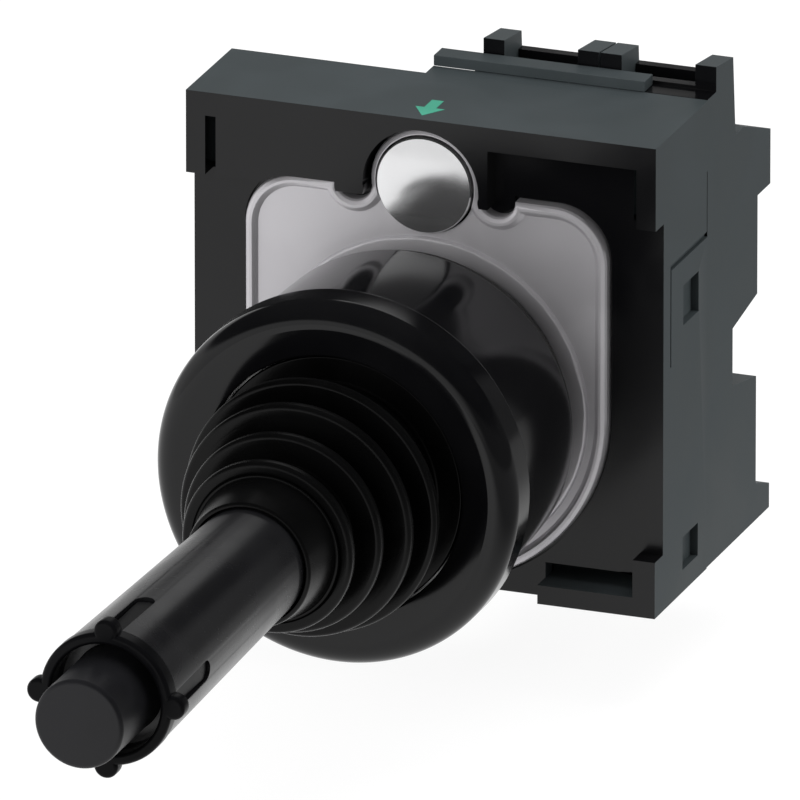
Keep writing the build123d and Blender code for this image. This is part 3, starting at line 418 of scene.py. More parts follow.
slot_of = {part["node"]: part["material_slot"] for part in frame["record"]["subparts"]}
bezel_low, bezel_high = (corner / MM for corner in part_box("bezel"))
bezel_rim = bezel_high.x
bezel_front = bezel_low.y
bezel_back = bezel_high.y
bezel_lip = 10.9
bezel_profile = rounded(
    [
        (12.7, bezel_back),
        (13.95, bezel_back, 0.3),
        (14.45, -14.2, 0.25),
        (bezel_rim, -14.5, 0.35),
        (bezel_rim, bezel_front, 1.85),
        (13.3, bezel_front, 0.6),
        (bezel_lip, bezel_front + 0.35, 0.3),
        (bezel_lip, bezel_front + 1.85),
        (12.7, bezel_front + 1.85),
    ],
    step=4.0,
)
gloss_black = moulded_material(
    "gloss black plastic", (0.003, 0.003, 0.0035), (0.0045, 0.0045, 0.005),
    roughness=0.12, rough_spread=0.025, grain=1.6, depth=0.0012, level=0.33,
)
bezel = new_piece("bezel_shell", turned_shape(bezel_profile, 192))
dress(bezel, gloss_black, "housing", "bezel")


# Boot: the bellows of black rubber between the bezel's lip and the handle's root, moulded in one
# piece with four beads over deep valleys. It is made as a rear part and a front part, cut apart at
# the gimbal.
boot_skirt = bezel_lip - 0.15
boot_split = -24.8
bead_half = 0.62
bead_thickness = 1.05
boot_neck = [(6.0, -33.1, 0.2), (5.7, -34.9, 0.9), (5.25, -37.7, 0.3)]
boot_beads = ((10.65, -23.1), (9.77, -26.5), (8.35, -29.5), (7.2, -32.9))
boot_valleys = ((8.6, bezel_front + 0.8), (7.9, -23.5), (6.75, -26.9), (5.85, -29.9))


def boot_outline():
    """The boot's outer outline from its skirt to its neck, as corner points with their roundings."""
    points = [(boot_skirt, bezel_front + 1.4), (boot_skirt, bezel_front + 0.9, 0.15)]
    for (valley_radius, valley_y), (bead_radius, bead_y) in zip(boot_valleys, boot_beads):
        points.append((valley_radius, valley_y, 0.25))
        points.append((bead_radius - bead_thickness, bead_y + bead_half + 0.15, 0.25))
        points.append((bead_radius, bead_y + bead_half, 0.5))
        points.append((bead_radius, bead_y - bead_half, 0.4))
        points.append((bead_radius - bead_thickness, bead_y - bead_half + 0.1, 0.3))
    return points + boot_neck


boot_rubber = moulded_material(
    "black boot rubber", (0.0012, 0.0012, 0.0012), (0.0024, 0.0024, 0.0025),
    roughness=0.26, rough_spread=0.05, grain=0.22, depth=0.004, level=0.17,
)
boot_inner_wall = [
    (4.95, -37.7),
    (4.95, -31.3),
    (5.3, -30.0),
    (6.2, -27.0),
    (7.3, -23.7),
    (7.95, -19.6),
    (8.3, bezel_front + 1.4),
]
boot_section = rounded(boot_outline() + boot_inner_wall, step=10.0)
for name, keep_front, bodies, blend_ends in (
    ("boot_rear", False, ("housing", "gimbal"), (-19.3, boot_split)),
    ("boot_front", True, ("gimbal", "lever"), (boot_split, -35.5)),
):
    shape = turned_shape(boot_section, 160)
    bmesh.ops.bisect_plane(
        shape,
        geom=shape.verts[:] + shape.edges[:] + shape.faces[:],
        plane_co=(0, boot_split, 0),
        plane_no=(0, 1 if keep_front else -1, 0),
        clear_outer=True,
    )
    rubber = new_piece(name, shape, sharp=40.0)
    rubber.data.materials.append(boot_rubber)
    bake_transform(rubber)
    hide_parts("boot")


# Handle: a tube moulded in black plastic, slightly waisted, with four open slots at its end. It is
# held on the lever's stem, and the boot's neck grips its root.
def rod_shape(radius, front, back, x=0.0, z=0.0, segments=64, edge=0.0):
    """A bmesh of a round rod along Y, its ends rounded where an edge radius is given."""
    section = [(0, front), (radius, front, edge), (radius, back, edge), (0, back)]
    return turned_shape(rounded(section, step=15.0), segments, x, z)


def box_shape(x_range, y_range, z_range):
    """A bmesh of a plain block given by its limits."""
    shape = bmesh.new()
    bmesh.ops.create_cube(shape, size=1)
    size = [high - low for low, high in (x_range, y_range, z_range)]
    middle = [(high + low) / 2 for low, high in (x_range, y_range, z_range)]
    bmesh.ops.scale(shape, vec=size, verts=shape.verts)
    bmesh.ops.translate(shape, vec=middle, verts=shape.verts)
    return shape


def slab_shape(outline, low, high):
    """A bmesh that extrudes an (x, y) outline along Z."""
    shape = bmesh.new()
    face = shape.faces.new([shape.verts.new((x, y, low)) for x, y in outline])
    pushed = bmesh.ops.extrude_face_region(shape, geom=[face])
    moved = [v for v in pushed["geom"] if isinstance(v, bmesh.types.BMVert)]
    bmesh.ops.translate(shape, verts=moved, vec=(0, 0, high - low))
    bmesh.ops.recalc_face_normals(shape, faces=shape.faces)
    return shape


def spun(shape, angle):
    """A bmesh turned about the lever's axis."""
    bmesh.ops.rotate(shape, verts=shape.verts, matrix=Matrix.Rotation(angle, 3, "Y"))
    return shape


def eased(name, source, edge, sharp=25.0):
    """A new piece from a mesh in metres: flat faces made whole, and sharp edges broken."""
    shape = bmesh.new()
    shape.from_mesh(source)
    bmesh.ops.scale(shape, vec=(1 / MM, 1 / MM, 1 / MM), verts=shape.verts)
    bmesh.ops.remove_doubles(shape, verts=shape.verts, dist=0.01)
    bmesh.ops.dissolve_limit(
        shape,
        angle_limit=math.radians(1.0),
        use_dissolve_boundaries=False,
        verts=shape.verts,
        edges=shape.edges,
    )
    if edge:
        sharp_edges = [
            e
            for e in shape.edges
            if e.is_manifold and e.calc_face_angle(0) > math.radians(40) and e.calc_length() > 1.2 * edge
        ]
        bmesh.ops.bevel(
            shape,
            geom=sharp_edges,
            offset=edge,
            segments=2,
            profile=0.5,
            affect="EDGES",
            clamp_overlap=True,
        )
    return new_piece(name, shape, sharp)


def carved(name, solids, cuts, edge=0.0, sharp=25.0):
    """Joins bmesh solids, cuts others away, and breaks the sharp edges; gives a new piece."""
    groups = {}
    for role, shapes in (("add", solids[1:]), ("cut", cuts)):
        groups[role] = bpy.data.collections.new(role)
        for shape in shapes:
            groups[role].objects.link(new_piece("tool", shape))
    rough = new_piece(name + "_rough", solids[0])
    for role, operation in (("add", "UNION"), ("cut", "DIFFERENCE")):
        if groups[role].objects:
            boolean = rough.modifiers.new(role, "BOOLEAN")
            boolean.operation = operation
            boolean.operand_type = "COLLECTION"
            boolean.collection = groups[role]
            boolean.solver = "EXACT"
    bpy.context.view_layer.update()
    result = bpy.data.meshes.new_from_object(rough.evaluated_get(bpy.context.evaluated_depsgraph_get()))
    for group in groups.values():
        for tool in list(group.objects):
            bpy.data.objects.remove(tool)
        bpy.data.collections.remove(group)
    bpy.data.objects.remove(rough)
    piece = eased(name, result, edge, sharp)
    bpy.data.meshes.remove(result)
    return piece


handle_end = (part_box("handle")[0] / MM).y
slot_width = 1.7
slot_length = 8.1
slot_floor = 4.6
nub_circle = 5.6
nub_radius = 1.0
handle_profile = rounded(
    [
        (4.65, -34.0, 0.3),
        (4.84, -41.0, 40.0),
        (4.95, -48.0, 40.0),
        (5.1, -56.0, 40.0),
        (5.42, handle_end, 0.2),
        (4.6, handle_end),
        (4.6, handle_end + 1.4),
        (3.76, handle_end + 1.4),
        (3.76, -56.0),
        (2.05, -56.0),
        (2.05, -34.0),
    ]
)
handle_black = moulded_material(
    "handle black", (0.007, 0.007, 0.0078), (0.01, 0.01, 0.011),
    roughness=0.27, rough_spread=0.04, grain=0.35, depth=0.003, level=0.42,
)
slot_outline = rounded(
    [
        (-slot_width / 2, handle_end - 1),
        (slot_width / 2, handle_end - 1),
        (slot_width / 2, handle_end + slot_length, slot_width / 2 - 0.01),
        (-slot_width / 2, handle_end + slot_length, slot_width / 2 - 0.01),
    ],
    step=15.0,
)
quarters = [math.radians(90 * count) for count in range(4)]
slots = [spun(slab_shape(slot_outline, slot_floor, nub_circle + 1), turn) for turn in quarters]
handle = carved("handle_tube", [turned_shape(handle_profile, 144)], slots, edge=0.08)
dress(handle, handle_black, "lever", "handle")

# End ring: a ring moulded in black plastic that closes the handle and guides the button. Its four
# arms snap into the handle's slots, and a nub stands on it over each arm.
ring_front = (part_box("end_ring")[0] / MM).y
ring_bore = 4.6
ring_outside = 5.51
arm_half = 0.65
arm_length = 7.8
ring_profile = [
    (ring_bore, ring_front, 0.3),
    (ring_outside, ring_front, 0.4),
    (ring_outside, handle_end, 0.1),
    (ring_bore, handle_end),
]
ring_solids = [turned_shape(rounded(ring_profile), 128)]
for turn in quarters:
    nub = rod_shape(nub_radius, ring_front, handle_end, z=nub_circle, segments=32, edge=0.35)
    arm = box_shape((-arm_half, arm_half), (handle_end - 0.3, handle_end + arm_length), (4.65, 4.95))
    ring_solids += [spun(nub, turn), spun(arm, turn)]
end_ring = carved("end_ring_cap", ring_solids, [], edge=0.05)
ring_black = moulded_material(
    "end ring black", (0.003, 0.003, 0.0035), (0.004, 0.004, 0.0045),
    roughness=0.3, rough_spread=0.04, grain=0.5, depth=0.002, level=0.08,
)
dress(end_ring, ring_black, "lever", "end_ring")

# Release button: a long round cap moulded in charcoal plastic, which slides in the end ring. It is
# bored at the back, where it is pressed on the release rod.
button_low, button_high = (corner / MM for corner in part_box("release_button"))
button_radius = button_high.x
button_bore = 0.92
button_bore_depth = 6
button_profile = rounded(
    [
        (0, button_low.y),
        (button_radius, button_low.y, 0.4),
        (button_radius, button_high.y, 0.2),
        (button_bore, button_high.y),
        (button_bore, button_high.y - button_bore_depth),
        (0, button_high.y - button_bore_depth),
    ],
    step=8.0,
)
button_charcoal = moulded_material(
    "button charcoal", (0.007, 0.007, 0.008), (0.01, 0.01, 0.0115),
    roughness=0.42, rough_spread=0.04, grain=0.16, depth=0.004, level=0.3,
)
button = new_piece("release_button_cap", turned_shape(button_profile, 128))
dress(button, button_charcoal, "button", "release_button")

# Gasket: a flat ring of black rubber, cut from sheet, that the bezel presses against the panel.
# Its edge shows as the dark line behind the bezel.
gasket_low, gasket_high = (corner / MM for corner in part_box("gasket"))
gasket_bore = 11.1
gasket_profile = rounded(
    [
        (gasket_bore, gasket_low.y),
        (gasket_high.x, gasket_low.y, 0.2),
        (gasket_high.x, gasket_high.y, 0.2),
        (gasket_bore, gasket_high.y),
    ],
    step=20.0,
)
gasket_rubber = moulded_material(
    "gasket rubber", (0.007, 0.007, 0.007), (0.012, 0.012, 0.012),
    roughness=0.55, rough_spread=0.06, grain=0.3, depth=0.008,
)
gasket = new_piece("gasket_ring", turned_shape(gasket_profile, 128))
dress(gasket, gasket_rubber, "housing", "gasket")


# Holder: the square frame behind the panel, moulded in dark grey. Its top and sides are finely
# spark-eroded. The faces that look forward are smoother, and are painted nearly black as painted shade.
def pillar_shape(outline, front, back):
    """A bmesh that extrudes an (x, z) outline along Y."""
    shape = bmesh.new()
    ring = [shape.verts.new((x, front, z)) for x, z in outline]
    face = shape.faces.new(ring)
    pushed = bmesh.ops.extrude_face_region(shape, geom=[face])
    moved = [v for v in pushed["geom"] if isinstance(v, bmesh.types.BMVert)]
    bmesh.ops.translate(shape, verts=moved, vec=(0, back - front, 0))
    bmesh.ops.recalc_face_normals(shape, faces=shape.faces)
    return shape


def arc_points(radius, start, end, x, z, steps):
    """Points of an arc about (x, z), from one angle in degrees to another, from +X towards +Z."""
    turns = [math.radians(start + (end - start) * count / steps) for count in range(steps + 1)]
    return [(x + radius * math.cos(a), z + radius * math.sin(a)) for a in turns]


screw_z = 18.3
plate_half = 15.4
plate_top = 17.7
plate_bottom = -14.9
plate_corner = 4.5
lobe_radius = 4.68
notch_x = 6.1
notch_radius = 1.5


def plate_outline(grow=0.0):
    """The clamp plate's outline, grown all round: it starts at the right notch and runs anticlockwise
    as seen from the front: notch, lobe, notch, left corner, left side, arc below, right side, corner."""
    half = plate_half + grow
    top = plate_top + grow
    corner = plate_corner + grow
    lobe = lobe_radius + grow
    notch = notch_radius - grow
    meet = math.degrees(math.asin(max(-1.0, (top - screw_z) / lobe)))
    dip = math.degrees(math.asin(min(1.0, grow / notch)))
    cut = math.degrees(math.asin((plate_bottom - grow) / half))
    points = arc_points(notch, dip, -180 - dip, notch_x, plate_top, 24)
    points += arc_points(lobe, meet, 180 - meet, 0, screw_z, 40)
    points += arc_points(notch, dip, -180 - dip, -notch_x, plate_top, 24)
    points += arc_points(corner, 90, 180, corner - half, top - corner, 14)
    points += arc_points(half, 180, 180 - cut, 0, 0, 20)
    points += arc_points(half, cut, 0, 0, 0, 20)
    points += arc_points(corner, 0, 90, half - corner, top - corner, 14)
    return points


def lofted_shape(loops):
    """A bmesh skinned over (outline, y) loops that all have as many points, and closed at both ends."""
    shape = bmesh.new()
    rings = [[shape.verts.new((x, y, z)) for x, z in outline] for outline, y in loops]
    for ring, other in zip(rings, rings[1:]):
        for index in range(len(ring)):
            following = (index + 1) % len(ring)
            shape.faces.new((ring[index], ring[following], other[following], other[index]))
    shape.faces.new(rings[0])
    shape.faces.new(rings[-1])
    bmesh.ops.recalc_face_normals(shape, faces=shape.faces)
    return shape


holder_low, holder_high = (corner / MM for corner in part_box("holder"))
side = holder_high.x
bottom = holder_low.z
top = holder_high.z
lug_front = holder_low.y
main_front = lug_front + 1.9
short_back = 11.9
long_back = holder_high.y
wall = 1.6
plate_back = 3.9
inside = side - wall
collar_hole = 11.25
overlap = 0.5
past = 1
corner_blocks = 17.2
lug_height = 1.6
lug_width = 1.9
rim_width = 1.64
seam = 0.22
front_layer = (lug_front, main_front + overlap)

solids = [
    box_shape((-side, side), (main_front, short_back), (bottom, top)),
    box_shape((-3.4, side), (short_back - overlap, long_back), (bottom, top)),
    box_shape((-side, 5.7), front_layer, (corner_blocks, top)),
    box_shape((5.0, side), front_layer, (top - 2.0, top)),
    box_shape((side - rim_width, side), front_layer, (corner_blocks, top - 1.0)),
]
cuts = [
    box_shape((-inside, inside), (5.0, long_back + past), (bottom + wall, top - wall)),
    pillar_shape(plate_outline(0.25), lug_front - past, plate_back),
    rod_shape(collar_hole, lug_front, 6.0, segments=128),
    rod_shape(4.3, lug_front - past, plate_back + 0.2, z=screw_z, segments=96),
    rod_shape(3.45, lug_front - past, 5.55, z=screw_z, segments=64),
]
for sign in (1, -1):
    lug_x = sorted((sign * 10.0, sign * side))
    solids.append(box_shape(lug_x, front_layer, (bottom, bottom + lug_height)))
    block_x = sorted((sign * (side - lug_width), sign * side))
    solids.append(box_shape(block_x, front_layer, (bottom, -11.0)))
    slot_x = sorted((sign * 10.0, sign * (side - lug_width)))
    slot_z = (bottom + lug_height, bottom + 2.9)
    cuts.append(box_shape(slot_x, (main_front - 0.5, lug_front + 4.0), slot_z))
    pocket_x = sorted((sign * (side - rim_width), sign * (side - 2.54)))
    cuts.append(box_shape(pocket_x, (lug_front - past, lug_front + 3.2), (corner_blocks, top - 2.0)))
for depth, y_range, z_range in (
    (0.3, (5.0, long_back + past), (12.6, 13.1)),
    (0.3, (5.0, 5.0 + seam), (4.4, 12.7)),
    (0.3, (long_back - seam, long_back + past), (13.0, 18.2)),
    (0.65, (8.0, 11.6), (7.0, 10.4)),
    (0.65, (8.0, 11.6), (-13.9, -11.1)),
):
    cuts.append(box_shape((side - depth, side + past), y_range, z_range))
holder = carved("holder_frame", solids, cuts, edge=0.1)
eroded_grey = moulded_material(
    "eroded grey plastic", (0.042, 0.051, 0.054), (0.052, 0.062, 0.066),
    roughness=0.55, rough_spread=0.05, grain=0.14, depth=0.006, level=0.25,
)
# A nearly black, smoother copy of the grey plastic: its darkness is painted shade.
painted_shade_black = moulded_material(
    "front plastic with painted shade", (0.003, 0.003, 0.0035), (0.005, 0.005, 0.0055),
    roughness=0.2, rough_spread=0.04, grain=0.9, depth=0.0015, level=0.33,
)
dress(holder, eroded_grey, "housing", "holder")
holder.data.materials.append(painted_shade_black)
# Faces near the front that are not on the outer top, sides or bottom take the black copy: painted shade.
faces_way = 0.6
for face in holder.data.polygons:
    middle = face.center / MM
    on_top = face.normal.z > faces_way and middle.z > top - 0.3
    on_side = abs(face.normal.x) > faces_way and abs(middle.x) > side - 0.7
    on_bottom = face.normal.z < -faces_way and middle.z < bottom + 0.3
    if middle.y < plate_back + 0.3 and not (on_top or on_side or on_bottom):
        face.material_index = 1

# Arrow: a plain mark printed in green ink on the holder's top. It points to the panel, so that the
# holder is put on the right way round.
arrow_tip = 2.4
arrow_length = 3.7
arrow_head = 1.9
arrow_x = -0.2
head_half = 1.25
tail_half = 0.5
arrow_outline = [
    (arrow_x, arrow_tip),
    (arrow_x + head_half, arrow_tip + arrow_head),
    (arrow_x + tail_half, arrow_tip + arrow_head),
    (arrow_x + tail_half, arrow_tip + arrow_length),
    (arrow_x - tail_half, arrow_tip + arrow_length),
    (arrow_x - tail_half, arrow_tip + arrow_head),
    (arrow_x - head_half, arrow_tip + arrow_head),
]
arrow = new_piece("printed_arrow", slab_shape(arrow_outline, top - 0.05, top + 0.02))
print_green = moulded_material(
    "green print", (0.05, 0.3, 0.2), (0.075, 0.38, 0.27),
    roughness=0.5, rough_spread=0.05, grain=0.3, depth=0.004, level=0.25,
)
dress(arrow, print_green, "housing")

# Clamp plate: a light die casting that draws the holder against the panel. It has a raised edge,
# a raised part ring round the bezel, and a lobe with a hole for the clamp foot.
plate_front = 2.9
lip_front = plate_front - 0.4
raised_front = plate_front - 0.35
raised_foot = plate_front + 0.3
raised_bore = 12.3
lip_loops = (
    (0.0, plate_back),
    (0.0, plate_front - 0.05),
    (-0.12, lip_front + 0.14),
    (-0.4, lip_front),
    (-0.62, lip_front),
    (-0.85, lip_front + 0.12),
    (-1.05, plate_front),
)
raised_profile = rounded(
    [
        (raised_bore, raised_front),
        (13.7, raised_front, 0.2),
        (13.9, raised_foot),
        (raised_bore, raised_foot),
    ],
    step=15.0,
)
plate = carved(
    "clamp_plate_casting",
    [lofted_shape([(plate_outline(grow), y) for grow, y in lip_loops]), turned_shape(raised_profile, 144)],
    [rod_shape(collar_hole, 0, 6, segments=128), rod_shape(4.2, 0, 6, z=screw_z, segments=96)],
    edge=0.06,
)


def metal_material(name, dark, light, roughness, rough_spread, grain, depth, metallic=1.0):
    """Bare or plated metal: two tones by flow marks, varied roughness, fine scratches and grain."""
    material = moulded_material(name, dark, light, roughness, rough_spread, grain, depth)
    material.node_tree.nodes["Principled BSDF"].inputs["Metallic"].default_value = metallic
    return material


satin_zinc = metal_material(
    "satin zinc", (0.6, 0.585, 0.61), (0.68, 0.665, 0.69),
    roughness=0.45, rough_spread=0.04, grain=0.12, depth=0.003, metallic=0.6,
)
dress(plate, satin_zinc, "housing", "clamp_plate")

# Clamp foot: the bright domed disc at the top, cast in zinc, turned and polished. Its hub sits on
# the clamp screw's end, which presses it against the panel.
foot_low, foot_high = (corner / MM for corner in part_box("clamp_foot"))
dome_radius = foot_high.x
dome_rise = 0.45
dome_sphere = (dome_radius**2 + dome_rise**2) / (2 * dome_rise)
dome_steps = 14
dome_back = foot_low.y + dome_rise + 0.75
hub_radius = 2.9
hub_bore = 1.25
dome_profile = [
    (r, foot_low.y + dome_sphere - math.sqrt(dome_sphere**2 - r**2))
    for r in [dome_radius * 0.975 * count / dome_steps for count in range(dome_steps + 1)]
]
dome_profile += [
    (dome_radius, foot_low.y + dome_rise + 0.12),
    (dome_radius, dome_back),
    (hub_radius, dome_back),
    (hub_radius, foot_high.y),
    (hub_bore, foot_high.y),
    (hub_bore, dome_back),
    (0, dome_back),
]
polished_zinc = metal_material(
    "polished zinc", (0.78, 0.78, 0.79), (0.86, 0.86, 0.87),
    roughness=0.2, rough_spread=0.03, grain=0.5, depth=0.001, metallic=0.93,
)
dome = new_piece("clamp_foot_dome", turned_shape(dome_profile, 128, z=screw_z))
dress(dome, polished_zinc, "foot", "clamp_foot")


# Contact modules: two slim housings of the holder's own grey, side by side behind its right half.
# Each is moulded open at the front, with tabs on top for the release tool and wire holes below
# them, and a cover closes it. What looks forward, and the upward faces sunk between the tabs near
# the front, is painted nearly black as painted shade and painted shadow, as on the holder.
module_names = ("inner", "outer")
trench_drop = 4
trench_depth = 7
for name in module_names:
    node = "module_housing_" + name
    low, high = (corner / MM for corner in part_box(node))
    housing = eased(node + "_shell", frame["nodes"][node].data, 0.1)
    dress(housing, eroded_grey, "housing", node)
    housing.data.materials.append(painted_shade_black)
    for face in housing.data.polygons:
        middle = face.center / MM
        in_shadowed_trench = top - trench_drop < middle.z < high.z - 1 and middle.y < low.y + trench_depth
        # Forward faces take painted shade, and the sunk faces between the tabs take a painted shadow.
        if face.normal.y < -faces_way or (face.normal.z > faces_way and in_shadowed_trench):
            face.material_index = 1
    node = "module_cover_" + name
    cover = eased(node + "_plate", frame["nodes"][node].data, 0.08)
    dress(cover, eroded_grey, "housing", node)

# Terminal screws: eight zinc-plated screws with slotted heads, each turned as it was last left.
# One head is made by the tree and set at each terminal.
screw_low, screw_high = (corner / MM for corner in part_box("terminal_screws"))
head_radius = 1.7
head_height = 1.4
head_edge = 0.2
shank_radius = 1.1
screw_slot_width = 0.6
screw_slot_depth = 0.6
module_width = 9.85
screw_inset = 2.55
plated_steel = metal_material(
    "plated steel", (0.5, 0.5, 0.5), (0.62, 0.62, 0.61),
    roughness=0.34, rough_spread=0.06, grain=0.18, depth=0.003,
)


def make_screw_tree():
    """Node tree: a slotted screw on every point, turned at random about its own axis."""
    tree = bpy.data.node_groups.new("terminal screws", "GeometryNodeTree")
    tree.interface.new_socket("Geometry", in_out="INPUT", socket_type="NodeSocketGeometry")
    tree.interface.new_socket("Geometry", in_out="OUTPUT", socket_type="NodeSocketGeometry")
    for name in ("Head Radius", "Head Height", "Edge", "Shank Radius", "Length", "Slot Width", "Slot Depth"):
        tree.interface.new_socket(name, in_out="INPUT", socket_type="NodeSocketFloat")
    tree.interface.new_socket("Seed", in_out="INPUT", socket_type="NodeSocketInt")
    start = tree.nodes.new("NodeGroupInput")
    end = tree.nodes.new("NodeGroupOutput")

    def raised(mesh, lift):
        """A mesh socket's geometry moved up along Z."""
        place = tree.nodes.new("GeometryNodeTransform")
        offset = tree.nodes.new("ShaderNodeCombineXYZ")
        link(tree, lift, offset.inputs["Z"])
        link(tree, mesh, place.inputs["Geometry"])
        link(tree, offset.outputs[0], place.inputs["Translation"])
        return place.outputs["Geometry"]

    def cone(radius_top, radius_bottom, depth, lift=None):
        """A rod or cone along Z whose base stands at a height, or at zero; gives its mesh socket."""
        node = tree.nodes.new("GeometryNodeMeshCone")
        node.inputs["Vertices"].default_value = 40
        for socket, value in (("Radius Top", radius_top), ("Radius Bottom", radius_bottom), ("Depth", depth)):
            link(tree, value, node.inputs[socket])
        return raised(node.outputs["Mesh"], lift) if lift else node.outputs["Mesh"]

    sizes = start.outputs
    body_height = math_node(tree, "SUBTRACT", sizes["Head Height"], sizes["Edge"])
    shank_length = math_node(tree, "SUBTRACT", sizes["Length"], sizes["Head Height"])
    top_radius = math_node(tree, "SUBTRACT", sizes["Head Radius"], sizes["Edge"])
    shank = cone(sizes["Shank Radius"], sizes["Shank Radius"], shank_length)
    head = cone(sizes["Head Radius"], sizes["Head Radius"], body_height, shank_length)
    edge_foot = math_node(tree, "ADD", shank_length, body_height)
    edge = cone(top_radius, sizes["Head Radius"], sizes["Edge"], edge_foot)
    slot = tree.nodes.new("GeometryNodeMeshCube")
    slot_size = tree.nodes.new("ShaderNodeCombineXYZ")
    link(tree, math_node(tree, "MULTIPLY", sizes["Head Radius"], 3.0), slot_size.inputs["X"])
    link(tree, sizes["Slot Width"], slot_size.inputs["Y"])
    link(tree, math_node(tree, "MULTIPLY", sizes["Slot Depth"], 2.0), slot_size.inputs["Z"])
    link(tree, slot_size.outputs[0], slot.inputs["Size"])
    join = tree.nodes.new("GeometryNodeMeshBoolean")
    join.operation = "UNION"
    join.solver = "EXACT"
    for socket in (shank, head, edge):
        link(tree, socket, join.inputs["Mesh 2"])
    cut = tree.nodes.new("GeometryNodeMeshBoolean")
    cut.operation = "DIFFERENCE"
    cut.solver = "EXACT"
    link(tree, join.outputs["Mesh"], cut.inputs["Mesh 1"])
    link(tree, raised(slot.outputs["Mesh"], sizes["Length"]), cut.inputs["Mesh 2"])
    lay = tree.nodes.new("GeometryNodeTransform")
    lay.inputs["Rotation"].default_value = (math.radians(-90), 0, 0)
    link(tree, cut.outputs["Mesh"], lay.inputs["Geometry"])
    turn = tree.nodes.new("FunctionNodeRandomValue")
    turn.data_type = "FLOAT_VECTOR"
    turn.inputs[0].default_value = (0, 0, 0)
    turn.inputs[1].default_value = (0, math.pi, 0)
    link(tree, sizes["Seed"], turn.inputs["Seed"])
    scatter = tree.nodes.new("GeometryNodeInstanceOnPoints")
    link(tree, sizes["Geometry"], scatter.inputs["Points"])
    link(tree, lay.outputs["Geometry"], scatter.inputs["Instance"])
    link(tree, turn.outputs[0], scatter.inputs["Rotation"])
    realize = tree.nodes.new("GeometryNodeRealizeInstances")
    finish = tree.nodes.new("GeometryNodeSetMaterial")
    finish.inputs["Material"].default_value = plated_steel
    link(tree, scatter.outputs["Instances"], realize.inputs["Geometry"])
    link(tree, realize.outputs["Geometry"], finish.inputs["Geometry"])
    link(tree, finish.outputs["Geometry"], end.inputs[0])
    return tree


def grown(name, points, tree, values):
    """Runs a geometry node tree on a set of points in millimetres; gives a plain mesh piece."""
    mesh = bpy.data.meshes.new(name)
    mesh.from_pydata([[value * MM for value in point] for point in points], [], [])
    seeds = bpy.data.objects.new(name + "_points", mesh)
    bpy.context.scene.collection.objects.link(seeds)
    modifier = seeds.modifiers.new("grow", "NODES")
    modifier.node_group = tree
    for item in tree.interface.items_tree:
        if item.item_type == "SOCKET" and item.in_out == "INPUT" and item.name in values:
            modifier[item.identifier] = values[item.name]
    bpy.context.view_layer.update()
    result = bpy.data.meshes.new_from_object(seeds.evaluated_get(bpy.context.evaluated_depsgraph_get()))
    bpy.data.objects.remove(seeds)
    result.name = name
    for face in result.polygons:
        face.use_smooth = True
    result.set_sharp_from_angle(angle=math.radians(25))
    piece = bpy.data.objects.new(name, result)
    bpy.context.scene.collection.objects.link(piece)
    return piece


terminal_columns = []
for name in module_names:
    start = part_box("module_housing_" + name)[0].x / MM
    terminal_columns += [start + screw_inset, start + module_width - screw_inset]
terminal_rows = (screw_high.z - head_radius, screw_low.z + head_radius)
terminal_points = [(x, screw_low.y, z) for x in terminal_columns for z in terminal_rows]
terminal_screws = grown(
    "terminal_screw_set",
    terminal_points,
    make_screw_tree(),
    {
        "Head Radius": head_radius * MM,
        "Head Height": head_height * MM,
        "Edge": head_edge * MM,
        "Shank Radius": shank_radius * MM,
        "Length": (screw_high.y - screw_low.y) * MM,
        "Slot Width": screw_slot_width * MM,
        "Slot Depth": screw_slot_depth * MM,
        "Seed": 7,
    },
)
dress(terminal_screws, plated_steel, "housing", "terminal_screws")

# Latch: a stamped steel plate that slides behind the holder's front wall and grips the collar, with
# a moulded thumb bar pressed on its two tabs. The bar shows on the holder's top edge.
latch_bar = eased("latch_thumb_bar", frame["nodes"]["latch_bar"].data, 0.06)
bar_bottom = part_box("latch_bar")[0].z
bar_reach = 0.09 * MM
for vertex in latch_bar.data.vertices:
    if vertex.co.z < bar_bottom + 0.1 * MM:
        vertex.co.z -= bar_reach
dress(latch_bar, eroded_grey, "latch", "latch_bar")
latch_plate = eased("latch_slide_plate", frame["nodes"]["latch_plate"].data, 0.07)
dress(latch_plate, plated_steel, "latch", "latch_plate")

# Collar, ram guide and retainer: the switch body behind the bezel, moulded in black plastic filled
# with glass fibre, which shows as a dull, slightly streaked surface.
fibre_black = moulded_material(
    "fibre filled black", (0.012, 0.012, 0.013), (0.022, 0.022, 0.023),
    roughness=0.5, rough_spread=0.07, grain=0.25, depth=0.007, level=0.35,
)
for name, node in (
    ("collar_body", "collar"),
    ("ram_retainer_disc", "ram_retainer"),
    ("ram_guide_block", "ram_guide"),
):
    dress(eased(name, frame["nodes"][node].data, 0.1), fibre_black, "housing", node)

# Clamp screw and its insert: a plated steel screw with a driver slot, in a brass insert that is
# pressed into the holder's boss. Turning it pushes the foot against the panel.
brass = metal_material(
    "brass", (0.62, 0.45, 0.2), (0.74, 0.55, 0.27),
    roughness=0.28, rough_spread=0.05, grain=0.2, depth=0.002,
)
clamp_screw = eased("clamp_screw_turned", frame["nodes"]["clamp_screw"].data, 0.08)
dress(clamp_screw, plated_steel, "screw", "clamp_screw")
screw_insert = eased("screw_insert_pressed", frame["nodes"]["screw_insert"].data, 0.08)
dress(screw_insert, brass, "housing", "screw_insert")

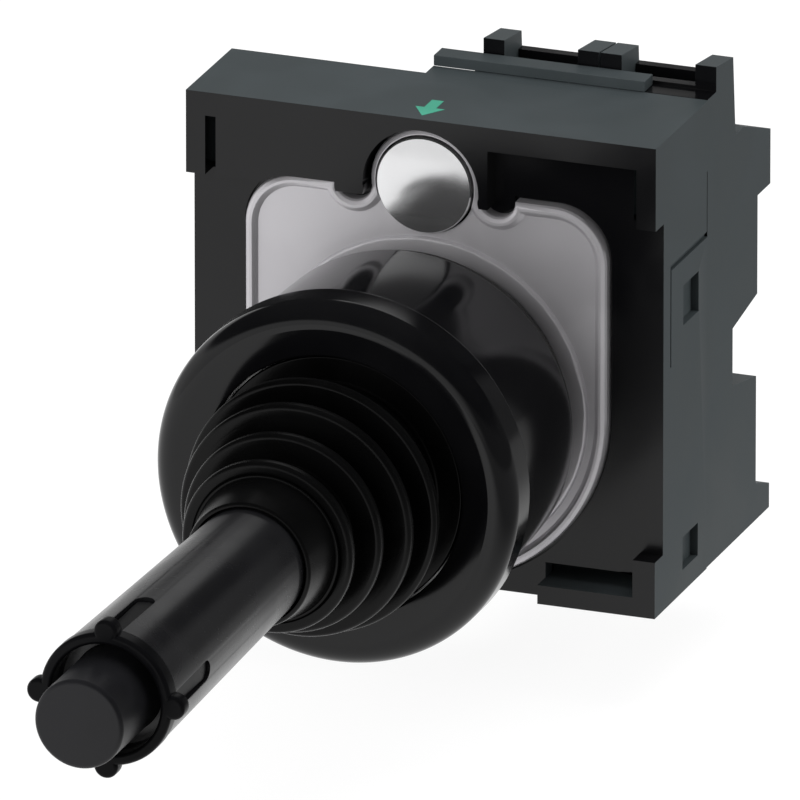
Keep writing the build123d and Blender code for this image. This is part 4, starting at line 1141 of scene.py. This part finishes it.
# The lever's works and the contacts keep their own meshes, each with the finish of its kind: white
# acetal rams, ground pins and rods, bright spring wire, and copper contacts.
white_acetal = moulded_material(
    "white acetal", (0.66, 0.65, 0.6), (0.74, 0.73, 0.69),
    roughness=0.33, rough_spread=0.05, grain=0.3, depth=0.002,
)
ground_steel = metal_material(
    "ground steel", (0.56, 0.56, 0.57), (0.64, 0.64, 0.65),
    roughness=0.2, rough_spread=0.04, grain=0.08, depth=0.001,
)
spring_wire = metal_material(
    "spring wire", (0.4, 0.4, 0.42), (0.5, 0.5, 0.52),
    roughness=0.3, rough_spread=0.05, grain=0.1, depth=0.002,
)
copper = metal_material(
    "contact copper", (0.68, 0.36, 0.24), (0.8, 0.46, 0.32),
    roughness=0.3, rough_spread=0.05, grain=0.15, depth=0.002,
)

# Springs: each is a coil of bright steel wire that sits against a step at its back.
ram_travel = 1.1
button_travel = 3.0
springs = []
for way in ("up", "down", "right", "left"):
    for node in ("ram_spring_" + way, "plunger_spring_" + way):
        springs.append((node, "housing", f"ram_{way}_slide", ram_travel))
springs.append(("button_spring", "lever", "button_press", button_travel))
for node, body, joint, travel in springs:
    coil = eased(node + "_coil", frame["nodes"][node].data, 0, sharp=60.0)
    dress(coil, spring_wire, body, node)
    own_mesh(coil)

# Every CAD node, also the ones inside, takes the finish of its kind. The nodes that a piece above
# stands for take it too.
finish_of = {
    "gloss_black_plastic": gloss_black,
    "boot_rubber": boot_rubber,
    "gasket_rubber": gasket_rubber,
    "glass_filled_plastic": fibre_black,
    "holder_plastic": eroded_grey,
    "module_plastic": eroded_grey,
    "handle_plastic": handle_black,
    "button_plastic": button_charcoal,
    "white_plastic": white_acetal,
    "cast_zinc": satin_zinc,
    "polished_zinc": polished_zinc,
    "plated_steel": plated_steel,
    "pin_steel": ground_steel,
    "spring_steel": spring_wire,
    "brass_ring": brass,
    "contact_copper": copper,
}
for node, part in frame["nodes"].items():
    part.data.materials.clear()
    part.data.materials.append(finish_of[slot_of[node]])

low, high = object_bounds()
